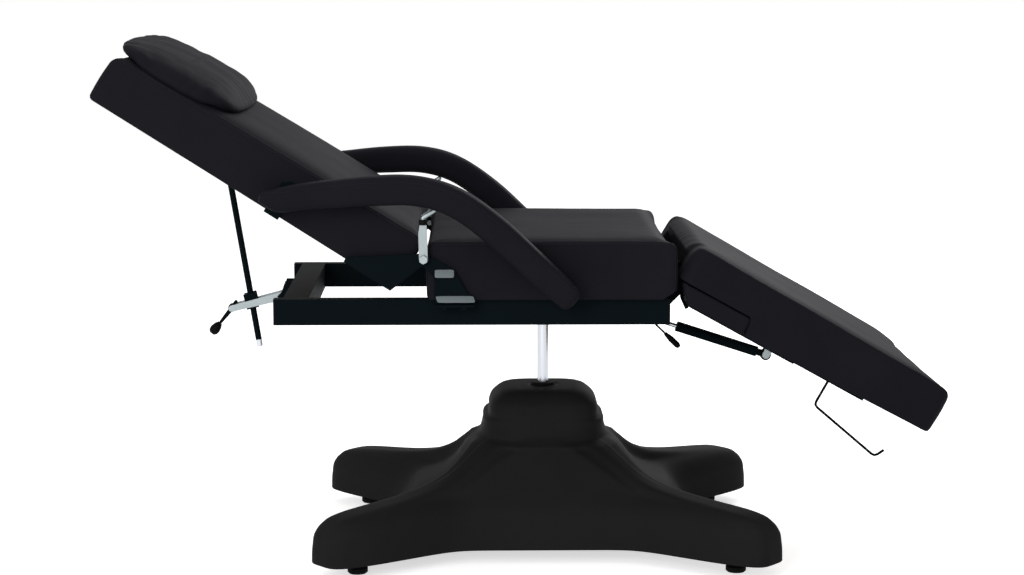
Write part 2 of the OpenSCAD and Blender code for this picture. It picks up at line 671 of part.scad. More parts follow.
pin_in = bracket_y - 3 * fit;
pin_spare = 4;
pin_out = arm_plate_y + 2 * bracket_t + pin_spare;
module hinge_pins() color(bare_steel) at_back() both_sides() {
    translate([0, (pin_in + pin_out) / 2, 0]) bar_y(hinge_r - 2 * fit, pin_out - pin_in);
    translate([0, pin_out, 0]) rotate([-90, 0, 0]) cylinder(r = 1.6 * hinge_r, h = hinge_r * 0.7, $fn = 6);
}

// Clevis of the strut, under the board
strut_u = 383;
strut_drop = 28;
strut_w = back_under + strut_drop;
module strut_clevis() color(dark_steel) at_back() {
    both_sides() plate_xz(strut_r + fit * 6, bar_t) hull() {
        translate([-strut_u, -strut_w]) circle(r = 2 * yoke_pin_r, $fn = hull_fn);
        translate([-strut_u - 4 * yoke_pin_r, -back_under - bar_t]) square([8 * yoke_pin_r, bar_t / 2]);
    }
    translate([-strut_u - 6 * yoke_pin_r, -4 * strut_r, -back_under - bar_t / 2])
        cube([12 * yoke_pin_r, 8 * strut_r, bar_t / 2]);
    translate([-strut_u, 0, -strut_w]) bar_y(yoke_pin_r, 2 * (strut_r + fit * 6 + bar_t));
}

// Armrests: a padded bar swept along a bowed line, drawn with the backrest flat
arm_path_shares = [
    [-0.037, -0.025], [0, 0.01], [0.07, 0.19], [0.148, 0.38], [0.262, 0.65], [0.388, 0.89], [0.45, 0.96], [0.51, 0.995],
    [0.58, 1], [0.651, 0.98], [0.8, 0.905], [0.94, 0.825], [1, 0.79]
];
arm_swell_shares = [0.42, 0.74, 0.86, 0.93, 1, 1, 1, 1, 1, 1, 0.97, 0.93, 0.86];
arm_end_shares = [[0.36, 0.45], [0.16, 0.8], [0.04, 0.96]];
arm_sides = 16;
arm_square = 3.4;
function arm_point(k) = [arm_path_shares[k][0] * arm_len - arm_rear, arm_path_shares[k][1] * arm_rise - arm_drop];
arm_last = len(arm_path_shares) - 1;
function arm_heading(k) =
    let (d = arm_point(min(k + 1, arm_last)) - arm_point(max(k - 1, 0))) atan2(d.y, d.x);
function bar_ring(c, heading, half_t, half_w, square, sides) =
    [for (i = [0:sides - 1])
        let (a = 360 * i / sides, r = oblong_polar(a, half_w, half_t, square), n = r * sin(a))
        [c.x - n * sin(heading), r * cos(a), c.y + n * cos(heading)]];
function arm_ring(c, heading, half_t, half_w) = bar_ring(c, heading, half_t, half_w, arm_square, arm_sides);
function arm_end(k, way) =
    [for (s = arm_end_shares)
        let (h = arm_heading(k), back = way * s[0] * arm_t * arm_swell_shares[k])
        arm_ring(arm_point(k) + back * [cos(h), sin(h)], h,
                 s[1] * arm_t * arm_swell_shares[k] / 2, s[1] * arm_w / 2)];
module armrest(side) color(leather) at_back()
    translate([0, side * (pad_half_w + arm_gap + arm_w / 2), 0])
        loft(concat(arm_end(0, -1),
            [for (k = [0:arm_last]) arm_ring(arm_point(k), arm_heading(k), arm_t * arm_swell_shares[k] / 2, arm_w / 2)],
            [for (i = [len(arm_end_shares) - 1:-1:0]) arm_end(arm_last, 1)[i]]));
module armrest_near() armrest(-1);
module armrest_far() armrest(1);

// Steel strap under the backrest's board, turned up at its ends to carry the armrests
strap_w = 30;
strap_t = 4;
strap_y = pad_half_w + arm_gap / 2;
strap_bolt_r = 8;
module armrest_strap() color(dark_steel) at_back() {
    x0 = arm_point(1).x - strap_w / 4;
    translate([x0, -strap_y - strap_t / 2, -back_under - strap_t]) cube([strap_w, 2 * strap_y + strap_t, strap_t]);
    both_sides() {
        translate([x0, strap_y - strap_t / 2, -back_under - strap_t])
            cube([strap_w, strap_t, back_under + strap_t + arm_point(2).y]);
        for (k = [1, 2]) translate([x0 + strap_w / 2, strap_y + arm_gap / 4 - soft_gap / 2, arm_point(k).y])
            bar_y(strap_bolt_r, arm_gap / 2 - soft_gap);
    }
}

// Links from the hinge pins to the undersides of the armrests, drawn upright as shown
link_y = arm_plate_y + bracket_t + fit * 4;
link_t = 3;
link_eye_r = 8;
sleeve_h = 10;
sleeve_wall = 2.5;
blade_low = 18;
blade_h = 65;
rod_r = 5;
link_top = [25, 90];
module link_frame(side) translate([back_hinge_x, 0, back_hinge_z]) scale([1, -side, 1]) children();
module armrest_link(side) color(bare_steel) link_frame(side) {
    difference() {
        plate_xz(-link_y - link_t, link_t) hull() {
            circle(r = link_eye_r, $fn = hull_fn);
            translate([0, blade_low]) circle(r = link_eye_r / 2, $fn = hull_fn);
            translate([-link_eye_r / 8, blade_h * 0.72]) circle(r = link_eye_r, $fn = hull_fn);
            translate([0, blade_h]) circle(r = link_eye_r * 0.75, $fn = hull_fn);
        }
        translate([0, -link_y, 0]) bar_y(hinge_r, 4 * link_t);
    }
    translate([0, -link_y - link_t - rod_r, 0]) {
        translate([0, 0, blade_h]) cylinder(r = rod_r, h = link_top[1] - blade_h - link_top[0] / 2);
        translate([0, 0, link_top[1] - link_top[0] / 2]) sphere(r = rod_r);
        hull() {
            translate([0, 0, link_top[1] - link_top[0] / 2]) sphere(r = rod_r, $fn = 16);
            translate([link_top[0] * 0.8, 0, link_top[1]]) sphere(r = rod_r, $fn = 16);
        }
    }
}
module armrest_link_near() armrest_link(-1);
module armrest_link_far() armrest_link(1);
module link_sleeves() color(rubber) for (side = [-1, 1]) link_frame(side)
    translate([0, -link_y - link_t - rod_r, blade_h - sleeve_wall / 2]) difference() {
        cylinder(r = rod_r + sleeve_wall, h = sleeve_h);
        translate([0, 0, -over]) cylinder(r = rod_r + fit, h = sleeve_h + 2 * over);
        translate([-2 * rod_r, rod_r, -over]) cube([4 * rod_r, rod_r, sleeve_h + 2 * over]);
    }

// Head pillow on the backrest
pillow_x0 = pillow_inset - back_reach;
pillow_crown = 8;
pillow_pull = 7;
function pillow_shape(p) =
    [p.x, p.y, p.z + back_thin(p.x) * (back_side_h + pad_crown) - back_under + soft_gap
        - end_fall(p.x - pillow_x0, pillow_h) * pow(p.z / (pillow_h + pillow_crown), 2) / 2];
module head_pillow() color(leather) at_back()
    pad(pillow_x0, pillow_x0 + pillow_len, pillow_half_w, pillow_h, pillow_crown, pillow_corner_r,
        pad_shoulder, pillow_pull, function(p) pillow_shape(p));

// Strut, drawn from its pivot at the slope shown
strut_lean = 9.3;
function turned(p, a) = [p.x * cos(a) + p.y * sin(a), p.y * cos(a) - p.x * sin(a)];
strut_pivot = [back_hinge_x, back_hinge_z] + turned([-strut_u, -strut_w], back_angle);
module at_strut() translate([strut_pivot.x, 0, strut_pivot.y]) rotate([0, -strut_lean, 0]) children();
strut_tip_len = 14;
module strut_rod() color(black_plastic) at_strut() difference() {
    union() {
        bar_y(2 * yoke_pin_r, 2 * strut_r);
        translate([0, 0, strut_tip_len - strut_len]) cylinder(r = strut_r, h = strut_len - strut_tip_len);
    }
    bar_y(yoke_pin_r + fit, 3 * strut_r);
}
module strut_tip() color(chrome) at_strut() translate([0, 0, -strut_len])
    rotate_extrude() polygon([
        [0, 0], [strut_r * 0.7, 0], [strut_r, strut_r * 0.3], [strut_r, strut_tip_len], [0, strut_tip_len]
    ]);

// Yoke: two bars on the head bracket, with the cheeks of the clamp and the lever's pivot
yoke_len = 100;
yoke_fall = 14;
cheek_at = 60;
module at_yoke() translate([yoke_x, 0, yoke_z]) rotate([0, 180 - yoke_fall, 0]) scale([1, 1, -1]) children();
module yoke_bars() color(bare_steel) at_yoke() {
    both_sides() difference() {
        plate_xz(yoke_half_gap, bar_t) hull() {
            circle(r = 2 * yoke_pin_r, $fn = hull_fn);
            translate([yoke_len, 0]) circle(r = 1.5 * yoke_pin_r, $fn = hull_fn);
        }
        bar_y(yoke_pin_r + fit, 4 * yoke_half_gap);
    }
    translate([yoke_len, 0, 0]) bar_y(yoke_pin_r, 2 * (yoke_half_gap + bar_t));
}
cheek_w = 24;
cheek_h = 30;
module clamp_cheeks() color(dark_steel) at_yoke() both_sides()
    translate([cheek_at - cheek_w / 2, strut_r + 2 * soft_gap, -cheek_h / 3])
        cube([cheek_w, yoke_half_gap - strut_r - 2 * soft_gap, cheek_h]);

// Release lever of the backrest: one arm for the hand, and a short one towards the clamp
lever_bar = 10;
grip_r = 7;
grip_len = 26;
lever_arm = [28, -21];
lever_short = [-9, 9];
back_grip_r = 10;
module at_back_lever() at_yoke() translate([yoke_len, 0, 0]) children();
module back_lever() color(black_plastic) at_back_lever() difference() {
    plate_xz(-lever_bar / 2, lever_bar) union() {
        circle(r = 2 * yoke_pin_r);
        for (end = [lever_arm, lever_short]) hull() {
            circle(r = yoke_pin_r * 1.2, $fn = hull_fn);
            translate(end) circle(r = yoke_pin_r * 0.8, $fn = hull_fn);
        }
    }
    bar_y(yoke_pin_r + fit, 2 * lever_bar);
}
module back_lever_grip() color(rubber) at_back_lever()
    translate([lever_arm.x, 0, lever_arm.y]) rotate([0, 90 + atan(-lever_arm.y / lever_arm.x), 0])
        translate([0, 0, yoke_pin_r]) rotate_extrude() polygon([
            [0, 0], [back_grip_r * 0.45, 0], [back_grip_r * 0.8, grip_len * 0.25], [back_grip_r, grip_len * 0.6],
            [back_grip_r * 0.9, grip_len * 0.85], [back_grip_r * 0.55, grip_len], [0, grip_len]
        ]);

// Leg rest carriage, drawn level with its hinge at the origin: two square sleeves joined
// by cross tubes
carriage_z = -leg_under - soft_gap - carriage_tube;
carriage_start = 48;
gas_u = 262;
gas_w = 83;
carriage_end = gas_u + carriage_tube;
sleeve_y = carriage_half_w + carriage_tube / 2 + 2 * ear_t;
module carriage_tubes() color(dark_steel) at_leg() {
    both_sides() translate([carriage_start, sleeve_y, carriage_z])
        tube_x(carriage_end - carriage_start, carriage_tube, carriage_tube, rail_wall);
    translate([carriage_start, 0, carriage_z]) tube_y(2 * plate_y, carriage_tube, carriage_tube, rail_wall);
    translate([gas_u - carriage_tube / 2, 0, carriage_z])
        tube_y(2 * (carriage_half_w + 2 * ear_t), carriage_tube, carriage_tube, rail_wall);
}

// Hinge plates from the carriage up to the pins, each with a point below its weld
point_drop = 8;
plate_y = leg_ear_y + ear_t + fit * 4;
module carriage_plates() color(dark_steel) at_leg() both_sides() {
    plate_xz(plate_y, ear_t - fit * 4) union() {
        circle(r = leg_ear_r);
        polygon([
            [leg_ear_r * 0.7, leg_ear_r * 0.7], [-leg_ear_r * 0.7, -leg_ear_r * 0.7],
            [carriage_start - leg_ear_r * 1.6, carriage_z + carriage_tube * 0.3],
            [carriage_start + leg_ear_r * 0.4, carriage_z - point_drop],
            [carriage_start + leg_ear_r * 0.9, carriage_z - point_drop / 2],
            [carriage_start, carriage_z + carriage_tube]
        ]);
    }
    translate([0, leg_ear_y + ear_t / 2 + fit * 2, 0]) bar_y(leg_pin_r, 2 * ear_t + 4 * fit);
}

// Clevis of the gas spring, under the carriage
module gas_clevis() color(bare_steel) at_leg() {
    both_sides() plate_xz(gas_ear_y, bar_t) hull() {
        translate([gas_u, -gas_w]) circle(r = 1.8 * gas_pin_r, $fn = hull_fn);
        translate([gas_u - carriage_tube / 2, carriage_z - bar_t / 2]) square([carriage_tube, bar_t / 2]);
    }
    translate([gas_u, 0, -gas_w]) bar_y(gas_pin_r, 2 * (gas_ear_y + bar_t));
}

// Padded apron between the carriage and the leg pad
undercut_share = 0.77;
apron_x0 = carriage_start;
undercut = (apron_x0 + leg_pad_back) / (undercut_share * leg_side_h);
module leg_apron() color(leather) at_leg() difference() {
    pad(apron_x0, apron_x0 + apron_len, pad_half_w - 2 * over, apron_t, 0, pad_corner_r / 3, pad_shoulder / 5, over,
        function(p) [p.x, p.y, p.z - leg_under]);
}

// Leg pad: its underside steps up over the apron and its hinge end is undercut
leg_taper = 0.1;
leg_step = apron_x0 + apron_len + over;
function leg_shape(p) =
    let (along = (p.x + leg_pad_back) / (leg_pad_reach + leg_pad_back),
         near_end = p.x < carriage_start / 2,
         z = (1 - leg_taper * along) * rolled(p, leg_side_h, -leg_pad_back, end_round, leg_pad_reach, nose_round),
         up = z - leg_side_h * undercut_share)
    [p.x + (near_end && up < 0 ? -up * undercut : 0), p.y, z - leg_under];
module leg_cushion() color(leather) at_leg() difference() {
    pad(-leg_pad_back, leg_pad_reach, pad_half_w, leg_side_h, pad_crown, pad_corner_r, pad_shoulder,
        pad_pull, function(p) leg_shape(p));
    translate([-carriage_start, -pad_half_w - over, -leg_under - over])
        cube([carriage_start + leg_step, 2 * (pad_half_w + over), apron_t + 2 * over + soft_gap]);
    translate([leg_step + board_inset - soft_gap, board_inset - pad_half_w - soft_gap, -leg_under - over])
        cube([leg_pad_reach - leg_step - 2 * board_inset + 2 * soft_gap,
              2 * (pad_half_w - board_inset + soft_gap), board_t + over]);
}
module leg_board() color(plywood) at_leg()
    translate([leg_step + board_inset, board_inset - pad_half_w, -leg_under])
        cube([leg_pad_reach - leg_step - 2 * board_inset, 2 * (pad_half_w - board_inset), board_t]);

// Bars that slide in the carriage's sleeves, with a foot each under the leg pad's board
slide_travel = 110;
slide_start = carriage_start + 2 * board_inset;
slide_foot = 40;
slide_end = carriage_end + slide_travel + slide_foot;
slide_fit = 4 * fit;
slide_w = carriage_tube - 2 * rail_wall - 2 * slide_fit;
module slide_bars() color(bare_steel) at_leg() both_sides()
    translate([slide_start, sleeve_y - slide_w / 2, carriage_z + rail_wall + slide_fit]) {
        cube([slide_end - slide_start, slide_w, slide_w]);
        translate([slide_end - slide_start - slide_foot, 0, 0])
            cube([slide_foot, slide_w, -leg_under - carriage_z - rail_wall - slide_fit]);
    }

// Wire holder for a paper roll, under the foot end: one wire bent twice
wire_u = 397;
wire_drop = 84;
wire_run = 156;
wire_fall = 32;
wire_tip = 20;
wire_plate_t = 3;
wire_bend = 3 * wire_r;
wire_sides = 10;
function toward(p, q, d) = p + (q - p) * d / norm(q - p);
function bent(p, q, s) = [toward(q, p, wire_bend), (2 * q + toward(q, p, wire_bend) + toward(q, s, wire_bend)) / 4,
    toward(q, s, wire_bend)];
function wire_points() =
    let (a = [wire_u, -leg_under - wire_plate_t / 2], b = [wire_u, -leg_under - wire_drop],
         c = b + [wire_run, -wire_fall], d = c + [wire_tip / 2, wire_tip])
    concat([a], bent(a, b, c), bent(b, c, d), [d]);
module roll_holder() color(black_plastic) at_leg() {
    points = wire_points();
    last = len(points) - 1;
    translate([wire_u - 6 * wire_r, -5 * wire_r, -leg_under - wire_plate_t])
        cube([12 * wire_r, 10 * wire_r, wire_plate_t]);
    loft([for (k = [0:last])
        let (d = points[min(k + 1, last)] - points[max(k - 1, 0)])
        bar_ring(points[k], atan2(d.y, d.x), wire_r, wire_r, 2, wire_sides)]);
}

// Gas spring between the foot bracket and the carriage
function gas_pin_place() = [leg_hinge_x, leg_hinge_z] + turned([gas_u, -gas_w], leg_angle_down);
gas_line = gas_pin_place() - [gas_x, gas_z];
gas_span = norm(gas_line);
gas_slope = -atan2(gas_line.y, gas_line.x);
gas_miss = 3.3;
eye_play = 1;
eye_wall = 3.5;
eye_t = 2 * gas_ear_y - eye_play;
gas_bottom = 8;
module at_gas() translate([gas_x, 0, gas_z]) rotate([0, gas_slope, 0]) children();
module gas_rod() color(chrome) at_gas() difference() {
    union() {
        bar_y(2 * gas_pin_r, eye_t);
        rotate([0, 90, 0]) cylinder(r = gas_rod_r, h = gas_span - gas_len / 3);
    }
    bar_y(gas_pin_r + fit, 2 * eye_t);
}
gas_end_len = 18;
module gas_cylinder() color(black_plastic) at_gas() difference() {
    union() {
        translate([gas_span - gas_len - gas_end_len, 0, 0]) rotate([0, 90, 0]) cylinder(r = gas_r, h = gas_len);
        translate([gas_span - gas_end_len - over, 0, 0]) rotate([0, 90, 0]) cylinder(r = gas_r * 0.7, h = gas_end_len / 2);
        translate([gas_span, 0, 0]) bar_y(gas_pin_r + gas_miss + eye_wall, eye_t - 2 * eye_play);
    }
    translate([gas_span - gas_len - gas_end_len - over, 0, 0]) rotate([0, 90, 0])
        cylinder(r = gas_rod_r + fit, h = gas_len - gas_bottom);
    translate([gas_span, 0, 0]) bar_y(gas_pin_r + gas_miss, 2 * eye_t);
}

// Release lever of the leg rest
leg_lever_y = gas_ear_y + bar_t + fit * 4;
leg_lever_len = 46;
leg_lever_slope = 44;
module at_leg_lever() translate([lever_x, leg_lever_y, lever_z]) rotate([0, leg_lever_slope, 0]) children();
module leg_lever() color(black_plastic) at_leg_lever() {
    translate([0, bar_t / 2, 0]) bar_y(2 * gas_pin_r, bar_t);
    rotate([0, 90, 0]) translate([0, bar_t / 2, 0]) cylinder(r = bar_t / 2, h = leg_lever_len);
}
module leg_lever_grip() color(rubber) at_leg_lever()
    translate([leg_lever_len, bar_t / 2, 0]) rotate([0, 90, 0]) rotate_extrude() polygon([
        [0, 0], [grip_r * 0.5, 0], [grip_r * 0.6, grip_len * 0.2], [grip_r * 0.85, grip_len * 0.6],
        [grip_r * 0.85, grip_len * 1.3], [grip_r * 0.5, grip_len * 1.5], [0, grip_len * 1.5]
    ]);

base_cover();
base_frame();
base_bolts();
glides();
pump_cylinder();
pump_foot();
neck_collar();
pedal_arm();
pedal_pad();
piston_rod();
side_rail_near();
side_rail_far();
head_cross_rail();
foot_cross_rail();
mid_cross_rails();
rail_caps();
column_hub();
frame_bolts();
hinge_bracket_near();
hinge_bracket_far();
yoke_bracket();
gas_bracket();
leg_hinge_ears();
seat_board();
seat_cushion();
back_board();
back_cushion();
back_hinge_arm_near();
back_hinge_arm_far();
hinge_pins();
strut_clevis();
armrest_near();
armrest_far();
armrest_strap();
armrest_link_near();
armrest_link_far();
link_sleeves();
head_pillow();
strut_rod();
strut_tip();
yoke_bars();
clamp_cheeks();
back_lever();
back_lever_grip();
carriage_tubes();
carriage_plates();
leg_apron();
gas_clevis();
leg_board();
leg_cushion();
slide_bars();
roll_holder();
gas_rod();
gas_cylinder();
leg_lever();
leg_lever_grip();
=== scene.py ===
"""Massage table: padded seat, backrest and leg rest, bowed armrests, a welded steel frame and a
moulded base with a hydraulic column. Lengths are in metres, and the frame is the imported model's."""
from __future__ import annotations

import json
import logging
import math
from dataclasses import dataclass, field
from enum import Enum

import bmesh
import bpy
import numpy as np
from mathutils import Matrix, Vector, noise
from mathutils.bvhtree import BVHTree


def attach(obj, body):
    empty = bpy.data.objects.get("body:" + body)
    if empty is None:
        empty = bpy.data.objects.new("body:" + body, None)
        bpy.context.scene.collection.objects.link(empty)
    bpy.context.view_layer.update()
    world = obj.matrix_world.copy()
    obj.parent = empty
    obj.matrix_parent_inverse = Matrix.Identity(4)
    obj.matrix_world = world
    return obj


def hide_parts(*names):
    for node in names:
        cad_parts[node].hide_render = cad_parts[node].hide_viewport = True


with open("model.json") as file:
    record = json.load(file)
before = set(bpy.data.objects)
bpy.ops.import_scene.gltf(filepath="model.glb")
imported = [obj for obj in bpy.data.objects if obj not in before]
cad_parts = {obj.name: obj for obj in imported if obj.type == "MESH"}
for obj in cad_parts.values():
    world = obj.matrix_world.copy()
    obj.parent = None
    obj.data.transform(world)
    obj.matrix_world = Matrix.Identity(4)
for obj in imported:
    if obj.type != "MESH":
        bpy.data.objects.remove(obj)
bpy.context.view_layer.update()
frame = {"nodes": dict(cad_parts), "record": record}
LOG = logging.getLogger("massage_table")
MM = 0.001


def linear(hex_colour: str) -> tuple[float, float, float, float]:
    """Turn an sRGB hex colour into a linear one.

    Args:
        hex_colour: six digits after a hash.

    Returns:
        Red, green, blue and an alpha of one.
    """
    channels = [int(hex_colour[i:i + 2], 16) / 255 for i in (1, 3, 5)]
    return tuple([c / 12.92 if c <= 0.04045 else ((c + 0.055) / 1.055) ** 2.4 for c in channels] + [1.0])


def add_node(tree: bpy.types.NodeTree, kind: str, settings: dict | None = None, values: dict | None = None,
             links: dict | None = None) -> bpy.types.Node:
    """Add one shader node.

    Args:
        tree: the node tree that the node goes into.
        kind: the node's type.
        settings: properties of the node.
        values: default values of its inputs, by name or number.
        links: sockets that feed its inputs, by name or number.

    Returns:
        The new node.
    """
    node = tree.nodes.new(kind)
    for key, value in (settings or {}).items():
        setattr(node, key, value)
    for key, value in (values or {}).items():
        node.inputs[key].default_value = value
    for key, source in (links or {}).items():
        tree.links.new(source, node.inputs[key])
    return node


# ---------------------------------------------------------------------------------- finishes


@dataclass(frozen=True)
class Finish:
    """A material: its colours, its gloss and the relief that its making left."""

    name: str
    colour: str
    worn_colour: str
    roughness: float
    metallic: float = 0.0
    ior: float = 1.5
    specular: float = 0.5
    edge_radius: float = 0.0
    patch: float = 0.12
    gloss_spread: float = 0.05

    def material(self) -> bpy.types.Material:
        """Return this finish as a material, made once."""
        found = bpy.data.materials.get(self.name)
        if found:
            return found
        made = bpy.data.materials.new(self.name)
        made.use_nodes = True
        tree = made.node_tree
        tree.nodes.clear()
        place = add_node(tree, "ShaderNodeTexCoord").outputs["Object"]
        shader = add_node(tree, "ShaderNodeBsdfPrincipled", values={
            "Metallic": self.metallic, "IOR": self.ior, "Specular IOR Level": self.specular})
        patches = add_node(tree, "ShaderNodeTexNoise", values={
            "Scale": 1 / self.patch, "Detail": 4.0, "Roughness": 0.6}, links={"Vector": place})
        tone = add_node(tree, "ShaderNodeMix", {"data_type": "RGBA"}, {
            6: linear(self.colour), 7: linear(self.worn_colour)}, {0: patches.outputs["Fac"]})
        tree.links.new(tone.outputs[2], shader.inputs["Base Color"])
        gloss = add_node(tree, "ShaderNodeMapRange", values={
            "To Min": self.roughness - self.gloss_spread, "To Max": self.roughness + self.gloss_spread},
                         links={"Value": patches.outputs["Fac"]})
        tree.links.new(gloss.outputs["Result"], shader.inputs["Roughness"])
        self.relief(tree, place, shader)
        add_node(tree, "ShaderNodeOutputMaterial", links={"Surface": shader.outputs["BSDF"]})
        return made

    def relief(self, tree: bpy.types.NodeTree, place: bpy.types.NodeSocket, shader: bpy.types.Node) -> None:
        """Shape the surface's fine relief.

        Args:
            tree: the material's nodes.
            place: the socket that gives the place on the piece; not used here.
            shader: the material's shader.
        """
        self.bump(tree, shader, [])

    def bump(self, tree: bpy.types.NodeTree, shader: bpy.types.Node,
             layers: list[tuple[bpy.types.NodeSocket, float]]) -> None:
        """Stack relief layers on a softened edge.

        Args:
            tree: the material's nodes.
            shader: the material's shader.
            layers: pairs of a height socket and its depth in metres.
        """
        normal = None
        if self.edge_radius:
            normal = add_node(tree, "ShaderNodeBevel", {"samples": 4}, {"Radius": self.edge_radius}).outputs["Normal"]
        for height, depth in layers:
            links = {"Height": height}
            if normal:
                links["Normal"] = normal
            normal = add_node(tree, "ShaderNodeBump", values={"Strength": 1.0, "Distance": depth},
                              links=links).outputs["Normal"]
        if normal:
            tree.links.new(normal, shader.inputs["Normal"])


@dataclass(frozen=True)
class Leatherette(Finish):
    """PVC-coated knit, embossed with a calf grain: a soft broad sheen, broken up by fine pebbles."""

    grain: float = 2.2 * MM  # real pebbles are about 1 mm, drawn coarser so that they show
    grain_depth: float = 0.05 * MM
    ripple_grains: float = 14.0  # pebbles to one ripple
    ripple_depth: float = 0.5 * MM

    def relief(self, tree: bpy.types.NodeTree, place: bpy.types.NodeSocket, shader: bpy.types.Node) -> None:
        """Emboss pebbles and lay slow ripples under them.

        Args:
            tree: the material's nodes.
            place: the socket that gives the place on the piece.
            shader: the material's shader.
        """
        pebbles = add_node(tree, "ShaderNodeTexVoronoi", {"feature": "SMOOTH_F1"}, {
            "Scale": 1 / self.grain, "Smoothness": 0.6}, {"Vector": place})
        ripples = add_node(tree, "ShaderNodeTexNoise", values={
            "Scale": 1 / (self.ripple_grains * self.grain), "Detail": 3.0}, links={"Vector": place})
        self.bump(tree, shader, [(ripples.outputs["Fac"], self.ripple_depth),
                                 (pebbles.outputs["Distance"], self.grain_depth)])


@dataclass(frozen=True)
class PowderCoat(Finish):
    """Powder-coated mild steel: a tight orange peel over a deep green-black."""

    peel: float = 3.0 * MM  # real peel is about 1 mm, drawn coarser so that it shows
    peel_depth: float = 0.05 * MM

    def relief(self, tree: bpy.types.NodeTree, place: bpy.types.NodeSocket, shader: bpy.types.Node) -> None:
        """Roll the surface as melted powder does."""
        peel = add_node(tree, "ShaderNodeTexNoise", values={
            "Scale": 1 / self.peel, "Detail": 1.0}, links={"Vector": place})
        self.bump(tree, shader, [(peel.outputs["Fac"], self.peel_depth)])


@dataclass(frozen=True)
class ZincPlate(Finish):
    """Zinc-plated steel: fine drawing lines under a cloudy bright plate."""

    line: float = 0.8 * MM
    line_depth: float = 0.03 * MM
    drawn: tuple[float, float, float] = (1.0, 1.0, 0.08)  # lines run on along the last axis

    def relief(self, tree: bpy.types.NodeTree, place: bpy.types.NodeSocket, shader: bpy.types.Node) -> None:
        """Draw lines along the piece."""
        stretched = add_node(tree, "ShaderNodeMapping", values={"Scale": self.drawn}, links={"Vector": place})
        lines = add_node(tree, "ShaderNodeTexNoise", values={
            "Scale": 1 / self.line, "Detail": 2.0}, links={"Vector": stretched.outputs["Vector"]})
        self.bump(tree, shader, [(lines.outputs["Fac"], self.line_depth)])


@dataclass(frozen=True)
class MouldedPlastic(Finish):
    """Injection-moulded ABS from a spark-eroded mould: even, dull and faintly pitted."""

    pit: float = 1.6 * MM  # real texture is about 0.3 mm, drawn coarser so that it shows
    pit_depth: float = 0.05 * MM
    sink_pits: float = 50.0  # pits to one sunk patch
    sink_depth: float = 1.0 * MM

    def relief(self, tree: bpy.types.NodeTree, place: bpy.types.NodeSocket, shader: bpy.types.Node) -> None:
        """Pit the surface and let its wide faces sink a little.

        Args:
            tree: the material's nodes.
            place: the socket that gives the place on the piece.
            shader: the material's shader.
        """
        pits = add_node(tree, "ShaderNodeTexNoise", values={
            "Scale": 1 / self.pit, "Detail": 2.0}, links={"Vector": place})
        sink = add_node(tree, "ShaderNodeTexNoise", values={
            "Scale": 1 / (self.sink_pits * self.pit), "Detail": 1.0}, links={"Vector": place})
        self.bump(tree, shader, [(sink.outputs["Fac"], self.sink_depth), (pits.outputs["Fac"], self.pit_depth)])


@dataclass(frozen=True)
class Birch(Finish):
    """Rotary-cut birch plywood: pale straw with long darker veins."""

    vein: float = 9 * MM
    vein_depth: float = 0.08 * MM
    cut: tuple[float, float, float] = (0.06, 1.0, 1.0)  # veins run on along the first axis

    def relief(self, tree: bpy.types.NodeTree, place: bpy.types.NodeSocket, shader: bpy.types.Node) -> None:
        """Run veins along the bed and tint with them.

        Args:
            tree: the material's nodes.
            place: the socket that gives the place on the piece.
            shader: the material's shader.
        """
        stretched = add_node(tree, "ShaderNodeMapping", values={"Scale": self.cut}, links={"Vector": place})
        veins = add_node(tree, "ShaderNodeTexNoise", values={
            "Scale": 1 / self.vein, "Detail": 6.0, "Distortion": 0.6}, links={"Vector": stretched.outputs["Vector"]})
        tone = add_node(tree, "ShaderNodeMix", {"data_type": "RGBA"}, {
            6: linear(self.colour), 7: linear(self.worn_colour)}, {0: veins.outputs["Fac"]})
        tree.links.new(tone.outputs[2], shader.inputs["Base Color"])
        self.bump(tree, shader, [(veins.outputs["Fac"], self.vein_depth)])


LEATHER = Leatherette("leatherette_black", "#151519", "#1c1c21", 0.6, ior=1.5, specular=0.013)
# Welts and seams are the leatherette drawn a shade lighter and glossier: a painted highlight for the light line along
# the rims
HIGHLIGHT_WELT = Leatherette("leatherette_welt_painted_highlight", "#19191d", "#202025", 0.56, ior=1.5, specular=0.02)
FRAME = PowderCoat("powder_coated_steel", "#080e11", "#0c1417", 0.56, ior=1.5, specular=0.010, edge_radius=1.6 * MM)
# Light grey painted on the bracket flanges: a painted highlight for the gloss reflection on the dark powder coat
FLANGE_HIGHLIGHT = PowderCoat("powder_coat_painted_highlight_grey", "#6f7779", "#646c6f", 0.45, ior=1.5, specular=0.1)
ZINC = ZincPlate("zinc_plated_steel", "#9aa2a4", "#7d8587", 0.36, metallic=1.0, edge_radius=0.6 * MM)
CHROME = ZincPlate("hard_chromed_steel", "#c9ccd1", "#b4b8be", 0.16, metallic=1.0, line=0.5 * MM)
ABS = MouldedPlastic("moulded_abs_black", "#1c1c1c", "#212121", 0.60, ior=1.53, specular=0.014)
CAP = MouldedPlastic("moulded_cap_black", "#060607", "#0b0b0c", 0.45, ior=1.53, specular=0.04, edge_radius=1.0 * MM)
RUBBER = MouldedPlastic("moulded_rubber_black", "#0a0a0a", "#101010", 0.7, ior=1.52, specular=0.06,
                        edge_radius=0.8 * MM)
BIRCH = Birch("birch_plywood", "#c3a26d", "#a5824d", 0.6, specular=0.3)


class Slot(Enum):
    """The record's material slots and the finish that each one takes."""

    leather = LEATHER
    frame_steel = FRAME
    zinc_steel = ZINC
    chrome = CHROME
    cover_plastic = ABS
    cap_plastic = CAP
    rubber = RUBBER
    plywood = BIRCH


# ------------------------------------------------------------------------------------ meshes


